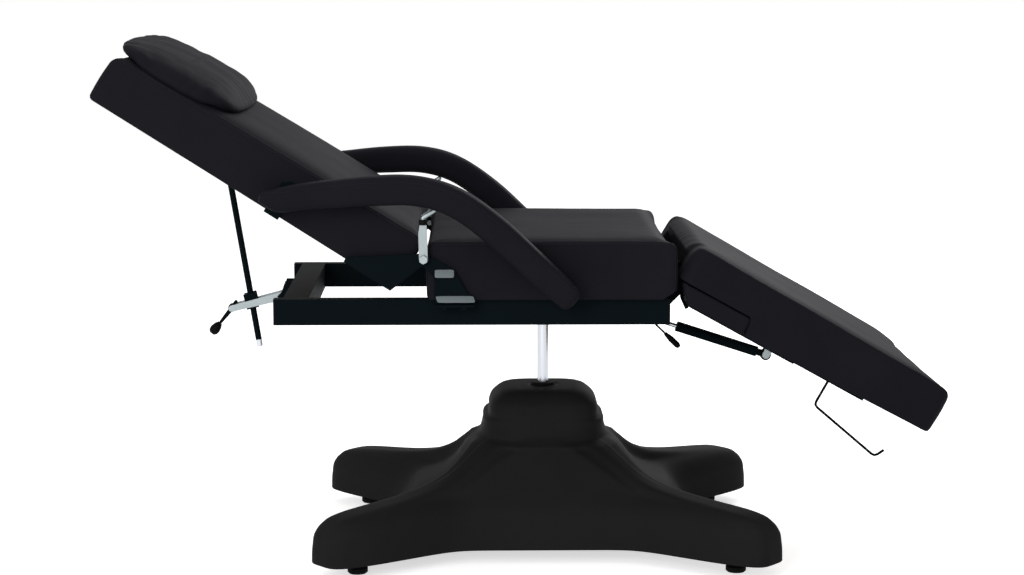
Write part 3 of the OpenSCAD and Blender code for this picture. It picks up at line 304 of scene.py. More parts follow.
def piece(name: str, points: np.ndarray, faces: list[tuple[int, ...]], slot: Slot, body: str,
          finish: Finish | None = None) -> bpy.types.Object:
    """Make a smooth mesh piece that rides on a body.

    Args:
        name: the piece's name.
        points: its points in the bed's frame.
        faces: its faces, as indices of points.
        slot: the record's material slot.
        body: the body that it rides on.
        finish: a finish other than the slot's own.

    Returns:
        The piece.
    """
    mesh = bpy.data.meshes.new(name)
    mesh.from_pydata([tuple(p) for p in points], [], faces)
    mesh.validate()
    made = bpy.data.objects.new(name, mesh)
    bpy.context.scene.collection.objects.link(made)
    mesh.materials.append((finish or slot.value).material())
    mesh.shade_smooth()
    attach(made, body)
    return made


def rings_to_faces(rows: int, count: int, closed: bool = False) -> list[tuple[int, ...]]:
    """Faces between rings of equal length, with both ends filled unless the rows close on themselves.

    Args:
        rows: number of rings.
        count: points in a ring.
        closed: whether the last ring joins the first.

    Returns:
        The faces.
    """
    faces = []
    for k in range(rows if closed else rows - 1):
        a, b = k * count, ((k + 1) % rows) * count
        faces += [(a + i, a + (i + 1) % count, b + (i + 1) % count, b + i) for i in range(count)]
    if not closed:
        faces.append(tuple(reversed(range(count))))
        faces.append(tuple((rows - 1) * count + i for i in range(count)))
    return faces


ASKEW = (0.13, 0.41, 0.9)  # a direction that no path takes


def tube(path: np.ndarray, radius: float, sides: int = 8, closed: bool = False) -> tuple[np.ndarray, list]:
    """Sweep a round section along a path.

    Args:
        path: the path's points.
        radius: the tube's radius.
        sides: points round the section.
        closed: whether the path is a loop.

    Returns:
        Points and faces.
    """
    count = len(path)
    ahead = np.roll(path, -1, 0) - np.roll(path, 1, 0)
    if not closed:
        ahead[0], ahead[-1] = path[1] - path[0], path[-1] - path[-2]
    ahead /= np.linalg.norm(ahead, axis=1)[:, None]
    side = np.cross(ahead[0], ASKEW)
    rings = []
    for k in range(count):
        side = side - ahead[k] * np.dot(side, ahead[k])
        side /= np.linalg.norm(side)
        up = np.cross(ahead[k], side)
        rings.append([path[k] + radius * (math.cos(a) * side + math.sin(a) * up)
                      for a in np.linspace(0, 2 * math.pi, sides, endpoint=False)])
    return np.array(rings).reshape(-1, 3), rings_to_faces(count, sides, closed)


def joined(parts: list[tuple[np.ndarray, list]]) -> tuple[np.ndarray, list]:
    """Join several sets of points and faces into one.

    Args:
        parts: the sets.

    Returns:
        Points and faces.
    """
    points, faces, start = [], [], 0
    for more, shown in parts:
        points.append(more)
        faces += [tuple(start + i for i in f) for f in shown]
        start += len(more)
    return np.concatenate(points), faces


def between_rows(t: np.ndarray | float, step: np.ndarray | float, low: np.ndarray, high: np.ndarray,
                 slope_low: np.ndarray, slope_high: np.ndarray) -> np.ndarray:
    """Row part of the way along a cubic line from one row to the next.

    Args:
        t: share of the way.
        step: distance between the rows.
        low: the first row.
        high: the second row.
        slope_low: slope at the first row.
        slope_high: slope at the second row.

    Returns:
        The row there.
    """
    return ((2 * t**3 - 3 * t**2 + 1) * low + (t**3 - 2 * t**2 + t) * step * slope_low
            + (3 * t**2 - 2 * t**3) * high + (t**3 - t**2) * step * slope_high)


def smooth_table(table: list[list[float]], count: int) -> np.ndarray:
    """Resample a table of rows on a smooth line through them, spaced evenly along it.

    Args:
        table: the rows.
        count: number of rows wanted.

    Returns:
        The finer table.
    """
    rows = np.array(table, float)
    span = np.concatenate([[0], np.cumsum(np.linalg.norm(np.diff(rows, axis=0), axis=1))])
    slope = np.gradient(rows, span, axis=0)
    at = np.linspace(0, span[-1], count)
    k = np.clip(np.searchsorted(span, at, side="right") - 1, 0, len(span) - 2)
    h = (span[k + 1] - span[k])[:, None]
    t = ((at - span[k]) / h[:, 0])[:, None]
    return between_rows(t, h, rows[k], rows[k + 1], slope[k], slope[k + 1])


def ripple(points: np.ndarray, size: float, stretch: tuple[float, float, float] = (1, 1, 1),
           seed: float = 0.0) -> np.ndarray:
    """Smooth noise from -1 to 1 at each point.

    Args:
        points: the places.
        size: length of one ripple.
        stretch: how much longer a ripple is along each axis.
        seed: shifts the pattern.

    Returns:
        One value a point.
    """
    scaled = points / (size * np.array(stretch)) + seed
    return np.array([noise.noise(Vector(p)) for p in scaled])


@dataclass
class Placement:
    """A hinge line across the bed, and the slope of what turns on it."""

    x: float
    z: float
    slope: float = 0.0

    def place(self, points: np.ndarray) -> np.ndarray:
        """Move points from the piece's own flat frame into the bed's.

        Args:
            points: points in the flat frame.

        Returns:
            The same points in the bed's frame.
        """
        c, s = math.cos(math.radians(self.slope)), math.sin(math.radians(self.slope))
        x, y, z = points[:, 0], points[:, 1], points[:, 2]
        return np.stack([self.x + x * c + z * s, y, self.z + z * c - x * s], axis=1)


LEVEL = Placement(0, 0.510)
BACK = Placement(-0.180, 0.588, 32.5)
LEG = Placement(0.294, 0.560, 29.0)


# ---------------------------------------------------------------------------------- upholstery


BACK_HEAD, BACK_FOOT = -0.668, -0.014  # ends of the backrest, from its hinge
CORNER_POINTS = 7  # points round each corner of a pad
LEAST_CORNER = 0.005
CORNER_SHRINK = 0.6  # how fast a corner's radius goes as the rings draw in
MOST_ROUND = 0.98  # share of the half width that a corner may take
PULL_REACH = 0.060  # how far in from the edge the sides' drawn-in line is felt
# Inset and height of the rings under a pad. Its board lies flush, 12 mm in from the edge, so the skin stays
# above the board's face there
UNDERSIDE = ((0.045, 0.0015), (0.02, 0.0015), (0.0115, 0.0004), (0.009, 0.0), (0.004, 0.0))
SIDE_BULGE = 0.0012
CROWN_REACH = 0.016
SLOW_WRINKLE, END_GATHER, SIDE_GATHER = 0.11, 0.018, 0.020  # lengths of the wrinkles
GATHER_STRETCH = 3.2
END_REACH, SIDE_REACH = 0.035, 0.022  # how far gathers run in from an end and from a side
TOP_FROM = 0.75  # share of the height where the top begins
PLAIN_BELOW, PLAIN_FADE = 0.006, 0.020  # no wrinkles near the underside
LOW_REACH = 0.030  # how far up the side a low corner's rounding is felt
WELT_RADIUS, SEAM_RADIUS, SEAM_LIFT = 0.0011, 0.0009, 0.0001
PLATE_EASE = 0.012  # width of the slope beside the hinge plates


def quarter_fall(distance: np.ndarray, radius: float, depth: float | None = None) -> np.ndarray:
    """Fall of a quarter round at a distance in from its end.

    Args:
        distance: how far in from the end.
        radius: how far in the fall begins.
        depth: the fall at the end itself, if it isn't the radius.

    Returns:
        The falls.
    """
    left = 1 - np.clip(distance, 0, radius) / radius
    return (radius if depth is None else depth) * (1 - np.sqrt(np.maximum(1 - left * left, 0)))


def ease(value: np.ndarray, low: float, high: float) -> np.ndarray:
    """Smooth step from 0 at low to 1 at high."""
    t = np.clip((value - low) / (high - low), 0, 1)
    return t * t * (3 - 2 * t)


@dataclass
class Pad:
    """A boxed cushion: drawn-in side panels, a soft rim and a crown."""

    name: str = "pad"
    node: str = "pad"
    body: str = "frame"
    placement: Placement = field(default_factory=lambda: LEVEL)
    x0: float = 0.0
    x1: float = 0.5
    half_w: float = 0.290
    side_h: float = 0.108
    crown: float = 0.005
    corner_r: float = 0.014
    rim: float = 0.010
    pull: float = 0.003
    step: float = 0.0055
    start_round: float = 0.030
    end_round: float = 0.046
    end_depth: float = 0.046
    hollow: float = 8.0
    start_corner: float = 0.014
    end_corner: float = 0.010
    low_corner: float = 0.009
    wrinkle: float = 0.0010
    fill: float = 0.85
    seed: float = 0.0
    welted: bool = True

    def ring(self, inset: float) -> np.ndarray:
        """An oblong with round corners and sides that pull in.

        Args:
            inset: how far it's drawn in from the pad's outline.

        Returns:
            Its points, along and across.
        """
        full_x, full_y = (self.x1 - self.x0) / 2, self.half_w
        hx, hy = full_x - inset, full_y - inset
        r = min(max(self.corner_r - inset * CORNER_SHRINK, LEAST_CORNER), MOST_ROUND * min(hx, hy))
        nx, ny = max(2, int(2 * full_x / self.step)), max(2, int(2 * full_y / self.step))
        signs = [(1, 1), (-1, 1), (-1, -1), (1, -1)]
        points = []
        for quarter, (sx, sy) in enumerate(signs):
            angles = np.linspace(quarter, quarter + 1, CORNER_POINTS) * math.pi / 2
            arc = np.stack([sx * (hx - r) + r * np.cos(angles), sy * (hy - r) + r * np.sin(angles)], 1)
            nsx, nsy = signs[(quarter + 1) % 4]
            last = (quarter + 1) * math.pi / 2
            end = np.array([nsx * (hx - r) + r * math.cos(last), nsy * (hy - r) + r * math.sin(last)])
            steps = nx if quarter % 2 == 0 else ny
            share = (np.arange(1, steps) / steps)[:, None]
            points += [arc, arc[-1] + (end - arc[-1]) * share]
        p = np.concatenate(points)
        x, y = p[:, 0].copy(), p[:, 1].copy()
        fade = self.pull * (1 - min(inset / PULL_REACH, 1))
        p[:, 0] -= np.sign(x) * fade * (1 - (y / hy) ** 2) * (np.abs(x) / hx) ** 4
        p[:, 1] -= np.sign(y) * fade * (1 - (x / hx) ** 2) * (np.abs(y) / hy) ** 4
        p[:, 0] += (self.x0 + self.x1) / 2
        return p

    def rows(self) -> list[tuple[float, float]]:
        """Inset and height of every ring, from the middle of the underside to the middle of the top."""
        bottom_r = 0.004
        side = [(bottom_r * (1 - math.sin(a)), bottom_r * (1 - math.cos(a)))
                for a in np.linspace(math.pi / 6, math.pi / 2, 3)]
        top_z = self.side_h - self.rim
        count = max(3, int((top_z - bottom_r) / self.step))
        side += [(-SIDE_BULGE * math.sin(math.pi * t), bottom_r + (top_z - bottom_r) * t)
                 for t in np.linspace(0, 1, count + 1)[1:]]
        rim = [(self.rim * (1 - math.cos(a)), top_z + self.rim * math.sin(a))
               for a in np.linspace(0, math.pi / 2, 7)[1:]]
        return list(UNDERSIDE) + side + rim + self.top_rows(self.rim)

    def top_rows(self, start: float) -> list[tuple[float, float]]:
        """Inset and height of the rings over the top.

        Args:
            start: inset of the rim's last ring.

        Returns:
            Pairs of inset and height, towards the middle.
        """
        reach = min((self.x1 - self.x0) / 2, self.half_w) - 0.003
        return [(inset, self.side_h + self.crown * (1 - math.exp(-(inset - start) / CROWN_REACH)))
                for inset in np.arange(start + self.step * 0.6, reach, self.step)]

    def shape(self, p: np.ndarray) -> np.ndarray:
        """Bend the plain box into the pad's own form, in its flat frame."""
        return p

    def rounded(self, p: np.ndarray) -> np.ndarray:
        """Roll the ends between the side panels, and round the panels' own corners.

        Args:
            p: points of the plain box.

        Returns:
            Their new heights.
        """
        start, end = p[:, 0] - self.x0, self.x1 - p[:, 0]
        high = np.clip(p[:, 2] / self.side_h, 0, 1)
        middle = 1 - np.minimum(np.abs(p[:, 1]) / self.half_w, 1) ** self.hollow
        rolled = quarter_fall(start, self.start_round) + quarter_fall(end, self.end_round, self.end_depth)
        rolled = rolled * high**2
        panel = (quarter_fall(start, self.start_corner) + quarter_fall(end, self.end_corner)) * high**4
        low = quarter_fall(np.minimum(start, end), self.low_corner) * np.clip(1 - p[:, 2] / LOW_REACH, 0, 1)
        return p[:, 2] - rolled * middle - panel * (1 - middle) + low

    def relief(self, p: np.ndarray) -> np.ndarray:
        """Wrinkle the skin: slow waves, and gathers at the ends and along the sides.

        Args:
            p: points of the plain box.

        Returns:
            How far each one stands out.
        """
        on_top = np.clip((p[:, 2] - self.side_h * TOP_FROM) / (self.side_h * (1 - TOP_FROM)), 0, 1)
        slow = ripple(p, SLOW_WRINKLE, (1.3, 1, 1), self.seed) * (0.5 + 0.9 * on_top)
        end = np.clip(np.minimum(p[:, 0] - self.x0, self.x1 - p[:, 0]), 0, None)
        side = np.clip(self.half_w - np.abs(p[:, 1]), 0, None)
        long = GATHER_STRETCH
        end_gathers = ripple(p, END_GATHER, (long, 1, long), self.seed + 3.1) * np.exp(-end / END_REACH)
        side_gathers = ripple(p, SIDE_GATHER, (1, long, long), self.seed + 7.7) * np.exp(-side / SIDE_REACH) * on_top
        total = self.wrinkle * (slow + 0.9 * end_gathers + 0.8 * side_gathers)
        return total * np.clip((p[:, 2] - PLAIN_BELOW) / PLAIN_FADE, 0, 1)

    def build(self) -> bpy.types.Object:
        """Make the cushion and its seams, in place of the CAD solid."""
        rows = self.rows()
        rings = [np.column_stack([self.ring(inset), np.full(len(self.ring(inset)), z)]) for inset, z in rows]
        flat = np.concatenate(rings)
        formed = self.shape(flat)
        made = piece(self.name, self.placement.place(formed), rings_to_faces(len(rows), len(rings[0])),
                     Slot.leather, self.body)
        normals = vertex_normals(made.data)
        world = self.placement.place(formed) + normals * self.relief(flat)[:, None]
        made.data.vertices.foreach_set("co", world.ravel())
        made.data.update()
        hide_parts(self.node)
        if self.welted:
            self.seams(made)
        return made

    def seam_line(self, side: int) -> np.ndarray:
        """The edge of a side panel, up one end, along the top and down the other.

        Args:
            side: -1 for the near panel, 1 for the far one.

        Returns:
            Its points in the flat frame.
        """
        hy, h, r = self.half_w, self.side_h, self.corner_r
        ends = [(self.x0 + r * 0.3, h * t) for t in np.linspace(0.1, 0.9, 18)]
        top = [(x, h - self.rim * 0.35) for x in np.arange(self.x0 + r * 0.6, self.x1 - r * 0.6, 0.006)]
        down = [(self.x1 - r * 0.3, h * t) for t in np.linspace(0.9, 0.1, 18)]
        return np.array([(x, side * hy, z) for x, z in ends + top + down])

    def seams(self, cushion: bpy.types.Object) -> None:
        """Sew a welt round each side panel, snapped to the cushion's skin, in the lighter leatherette that paints a
        highlight along the rim.

        Args:
            cushion: the finished cushion.
        """
        parts = [tube(snapped(cushion, self.placement.place(self.shape(self.seam_line(side)))), WELT_RADIUS, 6)
                 for side in (-1, 1)]
        points, faces = joined(parts)
        piece(self.name + "_seams", points, faces, Slot.leather, self.body, HIGHLIGHT_WELT)


def vertex_normals(mesh: bpy.types.Mesh) -> np.ndarray:
    """Normals of a mesh's vertices.

    Args:
        mesh: the mesh.

    Returns:
        One row a vertex.
    """
    normals = np.zeros(len(mesh.vertices) * 3, np.float32)
    mesh.vertex_normals.foreach_get("vector", normals)
    return normals.reshape(-1, 3).astype(float)


def snapped(cushion: bpy.types.Object, path: np.ndarray, rounds: int = 3) -> np.ndarray:
    """Lay a path on a cushion's skin.

    Args:
        cushion: the piece that the path lies on.
        path: points near the skin.
        rounds: how often the path is smoothed.

    Returns:
        The path on the skin.
    """
    tree = BVHTree.FromObject(cushion, bpy.context.evaluated_depsgraph_get())
    laid = []
    for p in path:
        at, normal, _, _ = tree.find_nearest(Vector(p))
        laid.append(np.array(at) + np.array(normal) * SEAM_LIFT)
    laid = np.array(laid)
    for _ in range(rounds):
        laid[1:-1] = (laid[:-2] + 2 * laid[1:-1] + laid[2:]) / 4
    return laid


@dataclass
class SeatPad(Pad):
    """The seat, its lower front corner cut back over the leg rest's hinge."""

    cut_share: float = 0.14
    cut_depth: float = 0.022
    cut_reach: float = 0.088

    def shape(self, p: np.ndarray) -> np.ndarray:
        """Roll the ends and cut the front corner back.

        Args:
            p: points of the plain box.

        Returns:
            The points of the seat.
        """
        low = 1 - np.minimum(1, p[:, 2] / (self.side_h * self.cut_share))
        out = p.copy()
        out[:, 2] = self.rounded(p)
        out[:, 0] -= low * self.cut_depth * np.clip(1 - (self.x1 - p[:, 0]) / self.cut_reach, 0, 1)
        return out


@dataclass
class BackPad(Pad):
    """The backrest, thinner towards the head."""

    under: float = 0.0776
    taper: float = 0.14
    swell: float = 0.006

    def thin(self, x: np.ndarray) -> np.ndarray:
        """Share of its thickness that the backrest keeps at x."""
        return 1 - self.taper * (BACK_FOOT - x) / (BACK_FOOT - BACK_HEAD)

    def shape(self, p: np.ndarray) -> np.ndarray:
        """Roll the ends, thin the head end and set it under the hinge.

        Args:
            p: points of the plain box.

        Returns:
            The points of the backrest.
        """
        out = p.copy()
        swell = self.swell * np.sin(np.pi * np.clip((p[:, 0] - self.x0) / (self.x1 - self.x0), 0, 1)) ** 2
        inside = np.clip(1 - (np.abs(p[:, 1]) / self.half_w) ** 4, 0, 1) * np.clip(p[:, 2] / self.side_h, 0, 1) ** 6
        out[:, 2] = self.thin(p[:, 0]) * self.rounded(p) - self.under + swell * inside
        return out


@dataclass
class HeadPillow(BackPad):
    """A loose pillow on the backrest, thick along its middle and rounded away to its edges."""

    back_h: float = 0.113
    belly: float = 0.011
    shoulder: float = 0.056
    loft: float = 0.010
    tuck: float = 0.014
    foot_corner: float = 0.045
    head_corner: float = 0.026
    corner_reach: float = 0.12
    end_reach: float = 0.15
    head_thin: float = 0.008
    hang: float = 0.010
    clear: float = 0.0004
    side_margin: float = 0.012
    gather: float = 0.022
    gather_depth: float = 0.0065
    gather_reach: float = 0.06
    pucker: float = 0.030
    pucker_depth: float = 0.0030
    pucker_reach: float = 0.05
    plain_fade: float = 0.012

    def rows(self) -> list[tuple[float, float]]:
        """Rings of a rounded side, tucked in below and bulging to a wide shoulder."""
        low = [(inset, 0.0) for inset in (0.07, 0.05, 0.034, 0.024, 0.017)]
        tuck = [(self.tuck * (1 - math.sin(a)), self.belly * (1 - math.cos(a)))
                for a in np.linspace(0.15, math.pi / 2, 6)]
        up = self.side_h - self.belly
        bulge = [(self.shoulder * (1 - math.cos(a)), self.belly + up * math.sin(a))
                 for a in np.linspace(0, math.pi / 2, 14)[1:]]
        return low + tuck + bulge + self.top_rows(self.shoulder)

    def shape(self, p: np.ndarray) -> np.ndarray:
        """Lay the pillow on the backrest, puff its middle and round its ends.

        Args:
            p: points of the plain ring stack.

        Returns:
            The points of the pillow.
        """
        out = p.copy()
        across = np.clip(1 - (np.abs(p[:, 1]) / self.half_w) ** 2, 0, 1)
        along = np.clip(1 - ((2 * p[:, 0] - self.x0 - self.x1) / (self.x1 - self.x0)) ** 4, 0, 1)
        high = np.clip(p[:, 2] / self.side_h, 0, 1)
        edge = self.hang * ease(np.abs(p[:, 1]), self.half_w - 0.012, self.half_w + 0.008)
        out[:, 2] = (p[:, 2] + self.loft * across * along * high**2 + self.thin(p[:, 0]) * self.back_h - self.under
                     + self.clear - edge * (1 - high))
        side = self.half_w + self.side_margin - np.abs(p[:, 1])
        at_foot = ease(p[:, 0], self.x1 - self.end_reach, self.x1)
        out[:, 0] -= quarter_fall(side, self.corner_reach, self.foot_corner) * at_foot
        at_head = 1 - ease(p[:, 0], self.x0, self.x0 + self.end_reach)
        out[:, 0] += quarter_fall(side, self.corner_reach, self.head_corner) * at_head
        out[:, 2] -= self.head_thin * at_head * high**2
        return out

    def relief(self, p: np.ndarray) -> np.ndarray:
        """Add gathers at the corners and puckers along the sides.

        Args:
            p: points of the plain ring stack.

        Returns:
            How far each one stands out.
        """
        end, side = np.minimum(p[:, 0] - self.x0, self.x1 - p[:, 0]), self.half_w - np.abs(p[:, 1])
        corner = np.exp(-np.hypot(end, side) / self.gather_reach)
        gathers = ripple(p, self.gather, (1, 2.4, 2.4), self.seed + 11)
        puckers = ripple(p, self.pucker, (1, 3, 1), self.seed + 17)
        puckers = puckers * np.exp(-np.clip(side, 0, None) / self.pucker_reach)
        low = np.clip(p[:, 2] / self.plain_fade, 0, 1)
        return super().relief(p) + (self.gather_depth * corner * gathers + self.pucker_depth * puckers) * low


@dataclass
class LegPad(Pad):
    """The leg pad: undercut over the hinge plates, stepped up over the apron, with side panels that hang
    below its board."""

    under: float = 0.040
    taper: float = 0.1
    undercut_share: float = 0.77
    undercut_start: float = 0.048
    step_end: float = 0.155
    apron_t: float = 0.0284
    plate_clear: float = 0.205
    skirt: float = 0.009
    lean: float = 0.008
    lean_reach: float = 0.12
    skirt_reach: float = 0.36

    def shape(self, p: np.ndarray) -> np.ndarray:
        """Roll, taper, undercut, step and skirt the pad.

        Args:
            p: points of the plain box.

        Returns:
            The points of the leg pad.
        """
        out = p.copy()
        along = (p[:, 0] - self.x0) / (self.x1 - self.x0)
        outer = ease(np.abs(p[:, 1]), self.plate_clear, self.plate_clear + PLATE_EASE)
        z = (1 - self.taper * along) * self.rounded(p)
        up = z - self.side_h * self.undercut_share
        cut = (self.undercut_start - self.x0) / (self.undercut_share * self.side_h)
        fade = np.clip(1 - (p[:, 0] - self.x0) / self.lean_reach, 0, 1) ** 1.5
        lean = self.lean * outer * fade
        out[:, 0] = p[:, 0] + np.maximum(-up, 0) * cut * fade * (1 - outer) + lean
        over_apron = np.clip((self.step_end - out[:, 0]) / 0.002, 0, 1)
        z = np.where(z < self.apron_t, np.maximum(z, over_apron * self.apron_t), z)
        far_along = np.clip((out[:, 0] - self.step_end) / self.skirt_reach, 0, 1)
        hang = self.skirt * (1 - 0.9 * far_along) * (1 - over_apron)
        out[:, 2] = z - self.under - hang * outer * np.clip(1 - z / 0.05, 0, 1)
        return out


@dataclass
class Apron(Pad):
    """The padded strip under the start of the leg pad, its ends reaching past the hinge plates."""

    under: float = 0.040
    plate_clear: float = 0.205
    reach_top: float = 0.008
    reach_low: float = 0.036
    skirt: float = 0.008

    def shape(self, p: np.ndarray) -> np.ndarray:
        """Slant the ends that stand outside the hinge plates and let them hang over the sleeves.

        Args:
            p: points of the plain box.

        Returns:
            The points of the apron.
        """
        out = p.copy()
        outer = ease(np.abs(p[:, 1]), self.plate_clear, self.plate_clear + PLATE_EASE)
        high = np.clip(p[:, 2] / self.side_h, 0, 1)
        start = self.reach_low + (self.reach_top - self.reach_low) * high
        left = 1 - (p[:, 0] - self.x0) / (self.x1 - self.x0)
        out[:, 0] += (start - self.x0) * left * outer
        out[:, 2] = self.rounded(p) - self.under - self.skirt * outer * (1 - high)
        return out


# ------------------------------------------------------------------------------------ armrests


@dataclass
class Armrest:
    """A padded bar swept along a bowed line, with a pointed rear tip and seams along its top edge."""

    side: int = -1
    length: float = 0.540
    rise: float = 0.172
    rear: float = 0.284
    drop: float = 0.050
    width: float = 0.060
    thickness: float = 0.054
    centre_y: float = 0.330
    square: float = 3.6
    rings: int = 110
    sides: int = 56
    girth: float = 0.05  # weighs thickness against length when the rings are spaced
    tip: float = 0.72
    tip_power: float = 2.6
    stretch: float = 0.010
    stretch_depth: float = 0.0005
    slow: float = 0.07
    slow_depth: float = 0.0008
    tip_gather: float = 0.014
    tip_depth: float = 0.0012
    tip_reach: float = 0.03
    seam_turns: tuple[float, float] = (133, 152)
    seam_end: int = 7  # rings left free of seam at each end
    table: tuple[tuple[float, float, float], ...] = (
        (-0.037, -0.025, 0.42), (0, 0.01, 0.74), (0.07, 0.19, 0.86), (0.148, 0.38, 0.93), (0.262, 0.65, 1),
        (0.388, 0.89, 1), (0.45, 0.96, 1), (0.51, 0.995, 1), (0.58, 1, 1), (0.651, 0.98, 1), (0.8, 0.905, 0.97),
        (0.94, 0.825, 0.93), (1, 0.79, 0.86))

    def section(self, angle: float, half_w: float, half_t: float) -> tuple[float, float]:
        """Go round the squarish section.

        Args:
            angle: the direction from its middle.
            half_w: its half width.
            half_t: its half thickness.

        Returns:
            Across and up.
        """
        c, s, n = math.cos(angle), math.sin(angle), self.square
        r = (abs(c / half_w) ** n + abs(s / half_t) ** n) ** (-1 / n)
        return r * c, r * s

    def spine(self) -> list[tuple[float, float, float, float, float]]:
        """Place, heading, half thickness and half width of every ring, with rounded ends."""
        rows = smooth_table([[x * self.length - self.rear, z * self.rise - self.drop, w * self.girth]
                             for x, z, w in self.table], self.rings)
        ahead = np.gradient(rows[:, :2], axis=0)
        heading = np.arctan2(ahead[:, 1], ahead[:, 0])
        swell = rows[:, 2] / self.girth
        found = [(x, z, h, self.thickness / 2 * s, self.width / 2)
                 for (x, z), h, s in zip(rows[:, :2], heading, swell)]

        def cap(row: tuple, way: int) -> list[tuple]:
            """Close an end with shrinking rings.

            Args:
                row: the end's own ring.
                way: -1 at the rear, 1 at the front.

            Returns:
                The rings, outwards.
            """
            x, z, h, half_t, half_w = row
            ends = []
            for t in np.linspace(0.12, 0.98, 8):
                back, keep = way * self.tip * half_t * t, (1 - t**self.tip_power) ** (1 / self.tip_power)
                ends.append((x + back * math.cos(h), z + back * math.sin(h), h, half_t * keep, half_w * keep))
            return ends
        return cap(found[0], -1)[::-1] + found + cap(found[-1], 1)

    def skin(self, row: tuple, angle: float) -> tuple[tuple[float, float, float], float, float]:
        """A place on the armrest's skin.

        Args:
            row: the ring.
            angle: the direction round it.

        Returns:
            The point in the backrest's flat frame, and its place across and up in the section.
        """
        x, z, h, half_t, half_w = row
        across, up = self.section(angle, half_w, half_t)
        return (x - up * math.sin(h), self.side * (self.centre_y - across), z + up * math.cos(h)), across, up

    def build(self) -> bpy.types.Object:
        """Make the armrest and its two seams, in place of the CAD solid."""
        side_name = "near" if self.side < 0 else "far"
        spine = self.spine()
        angles = np.linspace(0, 2 * math.pi, self.sides, endpoint=False)
        points, flat = [], []
        run = 0.0
        for k, row in enumerate(spine):
            if k:
                run += math.hypot(row[0] - spine[k - 1][0], row[1] - spine[k - 1][1])
            for a in angles:
                point, across, up = self.skin(row, a)
                points.append(point)
                flat.append((run, across, up))
        placed, flat = BACK.place(np.array(points)), np.array(flat)
        made = piece("armrest_pad_" + side_name, placed, rings_to_faces(len(spine), self.sides), Slot.leather,
                     "backrest")
        if self.side > 0:
            made.data.flip_normals()
        stretch = ripple(flat, self.stretch, (9, 1, 1), 1.3) * ease(flat[:, 2], 0.004, 0.02)
        slow = ripple(flat, self.slow, (1.5, 1, 1), 4.1)
        tip = np.exp(-np.minimum(flat[:, 0], run - flat[:, 0]) / self.tip_reach)
        tip = tip * ripple(flat, self.tip_gather, (1.6, 1, 1), 9.2)
        height = self.stretch_depth * stretch + self.slow_depth * slow + self.tip_depth * tip
        world = placed + vertex_normals(made.data) * height[:, None]
        made.data.vertices.foreach_set("co", world.ravel())
        made.data.update()
        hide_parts("armrest_" + side_name)
        parts = []
        for turn in self.seam_turns:
            path = [self.skin(row, math.radians(turn))[0] for row in spine[self.seam_end:-self.seam_end]]
            parts.append(tube(snapped(made, BACK.place(np.array(path))), SEAM_RADIUS, 6))
        points, faces = joined(parts)
        # The armrest seams take the lighter leatherette, a painted highlight along the top edge
        piece("armrest_seams_" + side_name, points, faces, Slot.leather, "backrest", HIGHLIGHT_WELT)
        return made


@dataclass
class BracketFlanges:
    """The two turned-out flanges of a hinge bracket, painted light grey as a highlight."""

    side: int = -1
    skin_y: float = 0.2982
    thickness: float = 0.0016
    square: float = 9.0
    points_round: int = 48
    levels: tuple[tuple[float, float], ...] = ((0, 0.0008), (0.2, 0.0), (0.8, 0.0), (1, 0.0008))
    flanges: tuple[tuple[float, ...], ...] = (
        (-0.1595, -0.1245, 0.5685, 0.5545, 0.0072, 0.0), (-0.1585, -0.0895, 0.5200, 0.5085, 0.0066, 0.004))

    def plate(self, x0: float, x1: float, top: float, low: float, out: float, skew: float) -> tuple:
        """One flange with rounded corners, leaning out from the bracket's skin.

        Args:
            x0: its end towards the head.
            x1: its end towards the foot.
            top: height of its upper edge.
            low: height of its lower edge.
            out: how far its lower edge stands out.
            skew: shift of its lower edge towards the foot.

        Returns:
            Points and faces.
        """
        rows = []
        for lift, inset in self.levels:
            ring = []
            for a in np.linspace(0, 2 * math.pi, self.points_round, endpoint=False):
                r = (abs(math.cos(a)) ** self.square + abs(math.sin(a)) ** self.square) ** (-1 / self.square)
                s = (1 + r * math.cos(a) * (1 - inset / (x1 - x0) * 2)) / 2
                t = (1 - r * math.sin(a) * (1 - inset / (top - low) * 2)) / 2
                ring.append((x0 + (x1 - x0) * s + skew * t, self.side * (self.skin_y + out * t + self.thickness * lift),
                             top + (low - top) * t))
            rows += ring if self.side < 0 else ring[::-1]
        return np.array(rows), rings_to_faces(len(self.levels), self.points_round)

    def build(self) -> bpy.types.Object:
        """Make both flanges."""
        points, faces = joined([self.plate(*row) for row in self.flanges])
        # The flanges take the light grey finish, a painted highlight
        return piece("bracket_flanges_" + ("near" if self.side < 0 else "far"), points, faces, Slot.frame_steel,
                     "frame", FLANGE_HIGHLIGHT)


# ---------------------------------------------------------------------------------- base cover


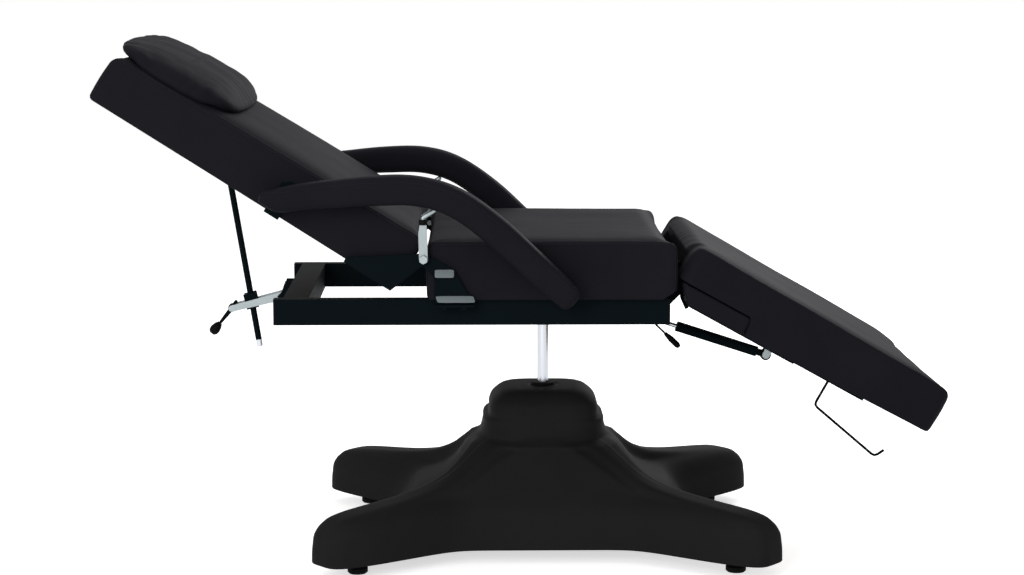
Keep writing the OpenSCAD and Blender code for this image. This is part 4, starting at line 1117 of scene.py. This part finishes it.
@dataclass
class BaseCover:
    """The moulded cover: four legs, a creased panel between each long pair and a square neck."""

    column_x: float = 0.0465
    reach: float = 0.538
    half_w: float = 0.066
    skirt_x: float = 0.300
    skirt_y: float = 0.221
    neck_h: float = 0.303
    neck_half: float = 0.122
    gap: float = 0.026
    wall: float = 0.004
    leg_angle: float = math.radians(39.4)
    hole_r: float = 0.0224
    slot_half: float = 0.028
    slot_z: float = 0.102
    slot_start: float = 0.15
    slot_reach: float = 0.40
    steps: int = 504
    leg_crowding: float = 3.5  # how much closer the directions lie at the legs
    leg_spread: float = math.radians(9)
    waist: tuple[float, float] = (0.09, 0.15)  # heights between which the skirt's sides sink in
    waist_share: float = 0.13
    skirt_square: float = 3.4
    skirt_soften: float = 1.2
    soften: tuple[float, float] = (0.09, 0.18)
    neck_square: float = 2.2
    neck_sharpen: float = 2.2
    sharpen: tuple[float, float] = (0.205, 0.262)
    panel_fade: float = 0.12
    least: float = 0.001
    low_rings: int = 62
    neck_rings: int = 34
    creases: tuple[float, ...] = (0.8, 0.806, 0.814, 0.82, 0.995, 1.0)  # shares of the height kept sharp
    foot_lip: float = 0.0015
    lid_rise: float = 0.0006
    leg_power: float = 4.5
    body_power: float = 6
    panel_power: float = 14
    panel_tilt: float = math.radians(52)
    legs: tuple[tuple[float, ...], ...] = (
        (0, 1, 1, 1, 1), (0.122, 0.998, 0.98, 0.96, 0.97), (0.212, 0.987, 0.95, 0.905, 0.95),
        (0.262, 0.965, 0.85, 0.87, 0.938), (0.3, 0.93, 0.72, 0.84, 0.93), (0.322, 0.875, 0.61, 0.81, 0.922),
        (0.338, 0.79, 0.54, 0.775, 0.916), (0.356, 0.68, 0.52, 0.73, 0.908), (0.39, 0.545, 0.54, 0.665, 0.895),
        (0.445, 0.435, 0.57, 0.605, 0.83), (0.505, 0.37, 0.6, 0.557, 0.775), (0.553, 0.33, 0.63, 0.525, 0.735),
        (0.59, 0.3, 0.66, 0.49, 0.70), (0.63, 0.27, 0.7, 0.452, 0.66))
    neck: tuple[tuple[float, float, float], ...] = (
        (0.67, 1.03, 1.06), (0.71, 0.995, 1.02), (0.765, 0.965, 0.975), (0.8, 0.95, 0.955), (0.806, 0.935, 0.95),
        (0.814, 0.892, 0.943), (0.82, 0.884, 0.938), (0.88, 0.865, 0.885), (0.925, 0.82, 0.83), (0.95, 0.765, 0.77),
        (0.97, 0.71, 0.71), (0.985, 0.65, 0.65), (0.995, 0.57, 0.57), (1, 0.5, 0.5))
    panel: tuple[tuple[float, float, float], ...] = (
        (0.026, 0.300, 0.221), (0.06, 0.254, 0.215), (0.089, 0.2126, 0.2075), (0.11, 0.186, 0.198),
        (0.13, 0.158, 0.186), (0.15, 0.130, 0.1735), (0.17, 0.100, 0.160), (0.185, 0.077, 0.150),
        (0.197, 0.057, 0.142), (0.204, 0.045, 0.137), (0.2116, 0.030, 0.128), (0.24, 0.010, 0.05))

    def angles(self) -> np.ndarray:
        """Directions round the column, closer together where the legs are."""
        fine = np.linspace(0, 2 * math.pi, 7201)
        off = np.abs(np.arctan2(np.abs(np.sin(fine)), np.abs(np.cos(fine))) - self.leg_angle)
        weight = np.cumsum(1 + self.leg_crowding * np.exp(-(off / self.leg_spread) ** 2))
        weight = (weight - weight[0]) / (weight[-1] - weight[0])
        return np.interp(np.linspace(0, 1, self.steps + 1)[:-1], weight, fine)

    def oblong(self, a: np.ndarray, hx: float, hy: float, n: float) -> np.ndarray:
        """Reach of a squarish oblong in each direction.

        Args:
            a: the directions.
            hx: its half length.
            hy: its half width.
            n: how square it is.

        Returns:
            One reach a direction.
        """
        return (np.abs(np.cos(a) / hx) ** n + np.abs(np.sin(a) / hy) ** n) ** (-1 / n)

    def either(self, p: np.ndarray, q: np.ndarray, n: float) -> np.ndarray:
        """Reach of two shapes blended into one."""
        return (p**n + q**n) ** (1 / n)

    def ring(self, z: float, a: np.ndarray) -> np.ndarray:
        """Reach of the cover at a height.

        Args:
            z: the height.
            a: directions round the column.

        Returns:
            One reach a direction.
        """
        share = (z - self.gap) / (self.neck_h - self.gap)
        if share <= self.legs[-1][0]:
            reach, half_w, hx, hy = self.blend(self.legs, share)
            hx, hy = hx * self.skirt_x, hy * self.skirt_y
            off = np.abs(np.arctan2(np.abs(np.sin(a)), np.abs(np.cos(a))) - self.leg_angle)
            n = self.leg_power
            leg = ((np.cos(off) / (reach * self.reach)) ** n
                   + (np.sin(off) / (half_w * self.half_w)) ** n) ** (-1 / n)
            sunk = ease(np.array([z]), *self.waist)[0]
            square = self.skirt_square - self.skirt_soften * ease(np.array([z]), *self.soften)[0]
            skirt = self.oblong(a, hx, hy * (1 - self.waist_share * sunk), square)
            body = self.either(leg, skirt, self.body_power)
        else:
            hx, hy = self.blend(self.neck, max(share, self.neck[0][0]))
            square = self.neck_square + self.neck_sharpen * ease(np.array([z]), *self.sharpen)[0]
            body = self.oblong(a, hx * self.neck_half, hy * self.neck_half, square)
            if share < self.neck[0][0]:
                t = (share - self.legs[-1][0]) / (self.neck[0][0] - self.legs[-1][0])
                low = self.ring(self.gap + self.legs[-1][0] * (self.neck_h - self.gap), a)
                body = low * (1 - t) + body * t
        half, depth = self.blend(self.panel, z)
        tilt = self.panel_tilt
        front = depth / np.maximum(np.abs(np.sin(a)), 1e-4)
        flank = (half * math.cos(tilt) + depth * math.sin(tilt)) / (
            np.abs(np.cos(a)) * math.cos(tilt) + np.abs(np.sin(a)) * math.sin(tilt))
        turned = np.arctan2(np.abs(np.sin(a)), np.abs(np.cos(a)))
        between = ease(turned, self.leg_angle - self.panel_fade, self.leg_angle)
        return self.either(body, np.minimum(front, flank) * between + self.least, self.panel_power)

    def blend(self, table: tuple, at: float) -> np.ndarray:
        """Read a table between its rows, never past the two rows beside.

        Args:
            table: rows that start with the value they stand at.
            at: the value wanted.

        Returns:
            The rest of the row there.
        """
        rows = np.array(table)
        slope = np.gradient(rows[:, 1:], rows[:, 0], axis=0)
        k = int(np.clip(np.searchsorted(rows[:, 0], at, side="right") - 1, 0, len(rows) - 2))
        h = rows[k + 1, 0] - rows[k, 0]
        t = float(np.clip((at - rows[k, 0]) / h, 0, 1))
        low, high = rows[k, 1:], rows[k + 1, 1:]
        free = between_rows(t, h, low, high, slope[k], slope[k + 1])
        return np.clip(free, np.minimum(low, high), np.maximum(low, high))

    def build(self) -> bpy.types.Object:
        """Make the cover with its inside and the pedal's notch, in place of the CAD solid."""
        a = self.angles()
        span = self.neck_h - self.gap
        heights = np.unique(np.concatenate([
            np.linspace(self.gap + 0.002, self.gap + 0.66 * span, self.low_rings),
            self.gap + span * np.linspace(0.67, 0.99, self.neck_rings), self.gap + span * np.array(self.creases)]))
        outer = [(z, self.ring(z, a)) for z in heights]
        outer = [(self.gap, outer[0][1] - self.foot_lip)] + outer
        top = outer[-1][1]
        lid = [(self.neck_h + self.lid_rise * (1 - t), top * t + self.hole_r * (1 - t))
               for t in (0.85, 0.6, 0.3, 0.0)]
        inner = [(z - self.wall, r - self.wall) for z, r in outer[6:]]
        under = [(self.neck_h - self.wall, (top - self.wall) * t + self.hole_r * (1 - t)) for t in (0.6, 0.0)]
        inner = [(self.gap, outer[0][1] - self.wall)] + inner + under
        rows = outer + lid + inner[::-1]
        points = np.concatenate([np.stack([self.column_x + r * np.cos(a), r * np.sin(a), np.full(len(a), z)], 1)
                                 for z, r in rows])
        faces = rings_to_faces(len(rows), len(a), closed=True)
        made = piece("moulded_base_cover", points, faces, Slot.cover_plastic, "base")
        self.notch(made)
        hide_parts("base_cover")
        return made

    def notch(self, cover: bpy.types.Object) -> None:
        """Cut the pedal's notch out of the far side.

        Args:
            cover: the cover's mesh.
        """
        box = bmesh.new()
        bmesh.ops.create_cube(box, size=1)
        mesh = bpy.data.meshes.new("notch")
        for v in box.verts:
            v.co = (self.column_x + v.co.x * 2 * self.slot_half, self.slot_start + (v.co.y + 0.5) * self.slot_reach,
                    (v.co.z + 0.5) * self.slot_z)
        box.to_mesh(mesh)
        box.free()
        cutter = bpy.data.objects.new("notch", mesh)
        bpy.context.scene.collection.objects.link(cutter)
        cut = cover.modifiers.new("notch", "BOOLEAN")
        cut.object, cut.operation, cut.solver = cutter, "DIFFERENCE", "EXACT"
        result = bpy.data.meshes.new_from_object(cover.evaluated_get(bpy.context.evaluated_depsgraph_get()))
        cover.modifiers.clear()
        cover.data = result
        cover.data.shade_smooth()
        bpy.data.objects.remove(cutter)


# ------------------------------------------------------------------------------------ studio


@dataclass
class Studio:
    """White backdrop, soft lamps and the camera."""

    eye: tuple[float, float, float] = (-0.0874, -4.57, 1.132)
    pitch: float = 7.95
    yaw: float = 0.92
    focal_px: float = 2365.0
    frame_px: float = 1024.0
    sensor: float = 36.0
    world_light: float = 0.62
    floor_colour: str = "#ececec"
    floor_lift: float = 0.62
    floor_radius: float = 9
    floor_drop: float = 0.0005
    lamps: tuple[tuple, ...] = (  # name, place, aim, size and watts
        ("overhead", (-0.3, 0.2, 3.4), (0, 0, 0.5), 3.2, 24), ("front", (-1.6, -4.2, 1.7), (0, 0, 0.4), 2.2, 88),
        ("rear", (1.8, 3.2, 2.4), (0, 0, 0.5), 2.0, 70))

    def camera(self) -> None:
        """Stand the camera where the photograph was taken from."""
        data = bpy.data.cameras.new("camera")
        data.sensor_width = self.sensor
        data.lens = self.focal_px * self.sensor / self.frame_px
        data.clip_end = 100
        made = bpy.data.objects.new("camera", data)
        made.location = self.eye
        made.rotation_euler = (math.radians(90 - self.pitch), 0, -math.radians(self.yaw))
        bpy.context.scene.collection.objects.link(made)
        bpy.context.scene.camera = made

    def world(self) -> None:
        """A white room for the camera and for reflections, and a calm grey one for light."""
        world = bpy.data.worlds.new("white_room")
        bpy.context.scene.world = world
        world.use_nodes = True
        tree = world.node_tree
        tree.nodes.clear()
        path = add_node(tree, "ShaderNodeLightPath")
        straight = add_node(tree, "ShaderNodeMath", {"operation": "MAXIMUM"}, links={
            0: path.outputs["Is Camera Ray"], 1: path.outputs["Is Transmission Ray"]})
        seen = add_node(tree, "ShaderNodeMath", {"operation": "MAXIMUM"}, links={
            0: straight.outputs["Value"], 1: path.outputs["Is Glossy Ray"]})
        strength = add_node(tree, "ShaderNodeMapRange", values={
            "To Min": self.world_light, "To Max": 1.0}, links={"Value": seen.outputs["Value"]})
        back = add_node(tree, "ShaderNodeBackground", values={"Color": (1, 1, 1, 1)},
                        links={"Strength": strength.outputs["Result"]})
        add_node(tree, "ShaderNodeOutputWorld", links={"Surface": back.outputs["Background"]})

    def floor(self) -> None:
        """A pale floor that keeps the table's shadow."""
        bpy.ops.mesh.primitive_circle_add(vertices=96, radius=self.floor_radius, fill_type="NGON",
                                          location=(0, 0, -self.floor_drop))
        made = bpy.context.object
        made.name = "floor"
        material = bpy.data.materials.new("matt_white_floor")
        material.use_nodes = True
        tree = material.node_tree
        tree.nodes.clear()
        path = add_node(tree, "ShaderNodeLightPath")
        seen = add_node(tree, "ShaderNodeMath", {"operation": "MAXIMUM"}, links={
            0: path.outputs["Is Camera Ray"], 1: path.outputs["Is Glossy Ray"]})
        lift = add_node(tree, "ShaderNodeMath", {"operation": "MULTIPLY"}, {1: self.floor_lift},
                        {0: seen.outputs["Value"]})
        glow = add_node(tree, "ShaderNodeEmission", links={"Strength": lift.outputs["Value"]})
        matt = add_node(tree, "ShaderNodeBsdfDiffuse", values={"Color": linear(self.floor_colour)})
        both = add_node(tree, "ShaderNodeAddShader", links={0: matt.outputs["BSDF"], 1: glow.outputs["Emission"]})
        add_node(tree, "ShaderNodeOutputMaterial", links={"Surface": both.outputs["Shader"]})
        made.data.materials.append(material)

    def lamp(self, name: str, place: tuple[float, float, float], aim: tuple[float, float, float], size: float,
             power: float) -> None:
        """Hang one soft box.

        Args:
            name: the lamp's name.
            place: where it hangs.
            aim: the point that it faces.
            size: length of its side.
            power: watts.
        """
        data = bpy.data.lights.new(name, "AREA")
        data.shape, data.size, data.energy = "SQUARE", size, power
        made = bpy.data.objects.new(name, data)
        made.location = place
        made.rotation_euler = (Vector(aim) - Vector(place)).to_track_quat("-Z", "Y").to_euler()
        bpy.context.scene.collection.objects.link(made)

    def build(self) -> None:
        """Set the whole studio up."""
        self.camera()
        self.world()
        self.floor()
        for lamp in self.lamps:
            self.lamp(*lamp)
        bpy.context.scene.view_settings.view_transform = "Standard"


# Plated parts darkened with the frame's finish; on the slide bars this is painted shade where they run under the pads
SHADE_DARKENED_PARTS = ("slide_bars", "frame_bolts")  # plated parts that the photograph shows black


def dress_solids() -> None:
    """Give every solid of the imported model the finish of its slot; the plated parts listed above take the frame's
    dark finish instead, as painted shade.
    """
    slots = {part["node"]: part["material_slot"] for part in frame["record"]["subparts"]}
    for node, solid in frame["nodes"].items():
        # The darkened plated parts are painted shade
        finish = FRAME if node in SHADE_DARKENED_PARTS else Slot[slots[node]].value
        material = finish.material()
        for slot in solid.material_slots:
            slot.material = material
        if not solid.material_slots:
            solid.data.materials.append(material)


def main() -> None:
    """Build the studio and the table's pieces."""
    logging.basicConfig(level=logging.INFO, format="%(message)s")
    Studio().build()
    dress_solids()
    pieces = [
        SeatPad("seat", "seat_cushion", "frame", LEVEL, -0.175, 0.2855, start_round=0.014, start_corner=0.006),
        BackPad("backrest", "back_cushion", "backrest", BACK, BACK_HEAD, BACK_FOOT, end_round=0.030,
                end_depth=0.03, start_corner=0.018, crown=0.007, seed=2.3),
        HeadPillow("pillow", "head_pillow", "pillow", BACK, -0.667, -0.436, half_w=0.272, side_h=0.032, crown=0.0,
                   corner_r=0.040, pull=-0.012, step=0.005, wrinkle=0.0020, fill=0.6, seed=5.9, welted=False),
        LegPad("leg_pad", "leg_cushion", "leg_rest", LEG, -0.008, 0.550, side_h=0.098, corner_r=0.026, seed=8.4,
               end_round=0.085, end_depth=0.050, hollow=6.0),
        Apron("apron", "leg_apron", "carriage", LEG, 0.048, 0.154, half_w=0.289, side_h=0.026, crown=0.0,
              corner_r=0.008, rim=0.004, pull=0.001, start_round=0.002, end_round=0.002, end_depth=0.002,
              start_corner=0.002, end_corner=0.002, low_corner=0.002, welted=False),
        Armrest(-1), Armrest(1), BracketFlanges(-1), BracketFlanges(1), BaseCover(),
    ]
    for maker in pieces:
        made = maker.build()
        LOG.info("%s: %d points", made.name, len(made.data.vertices))


if __name__ == "__main__":
    main()
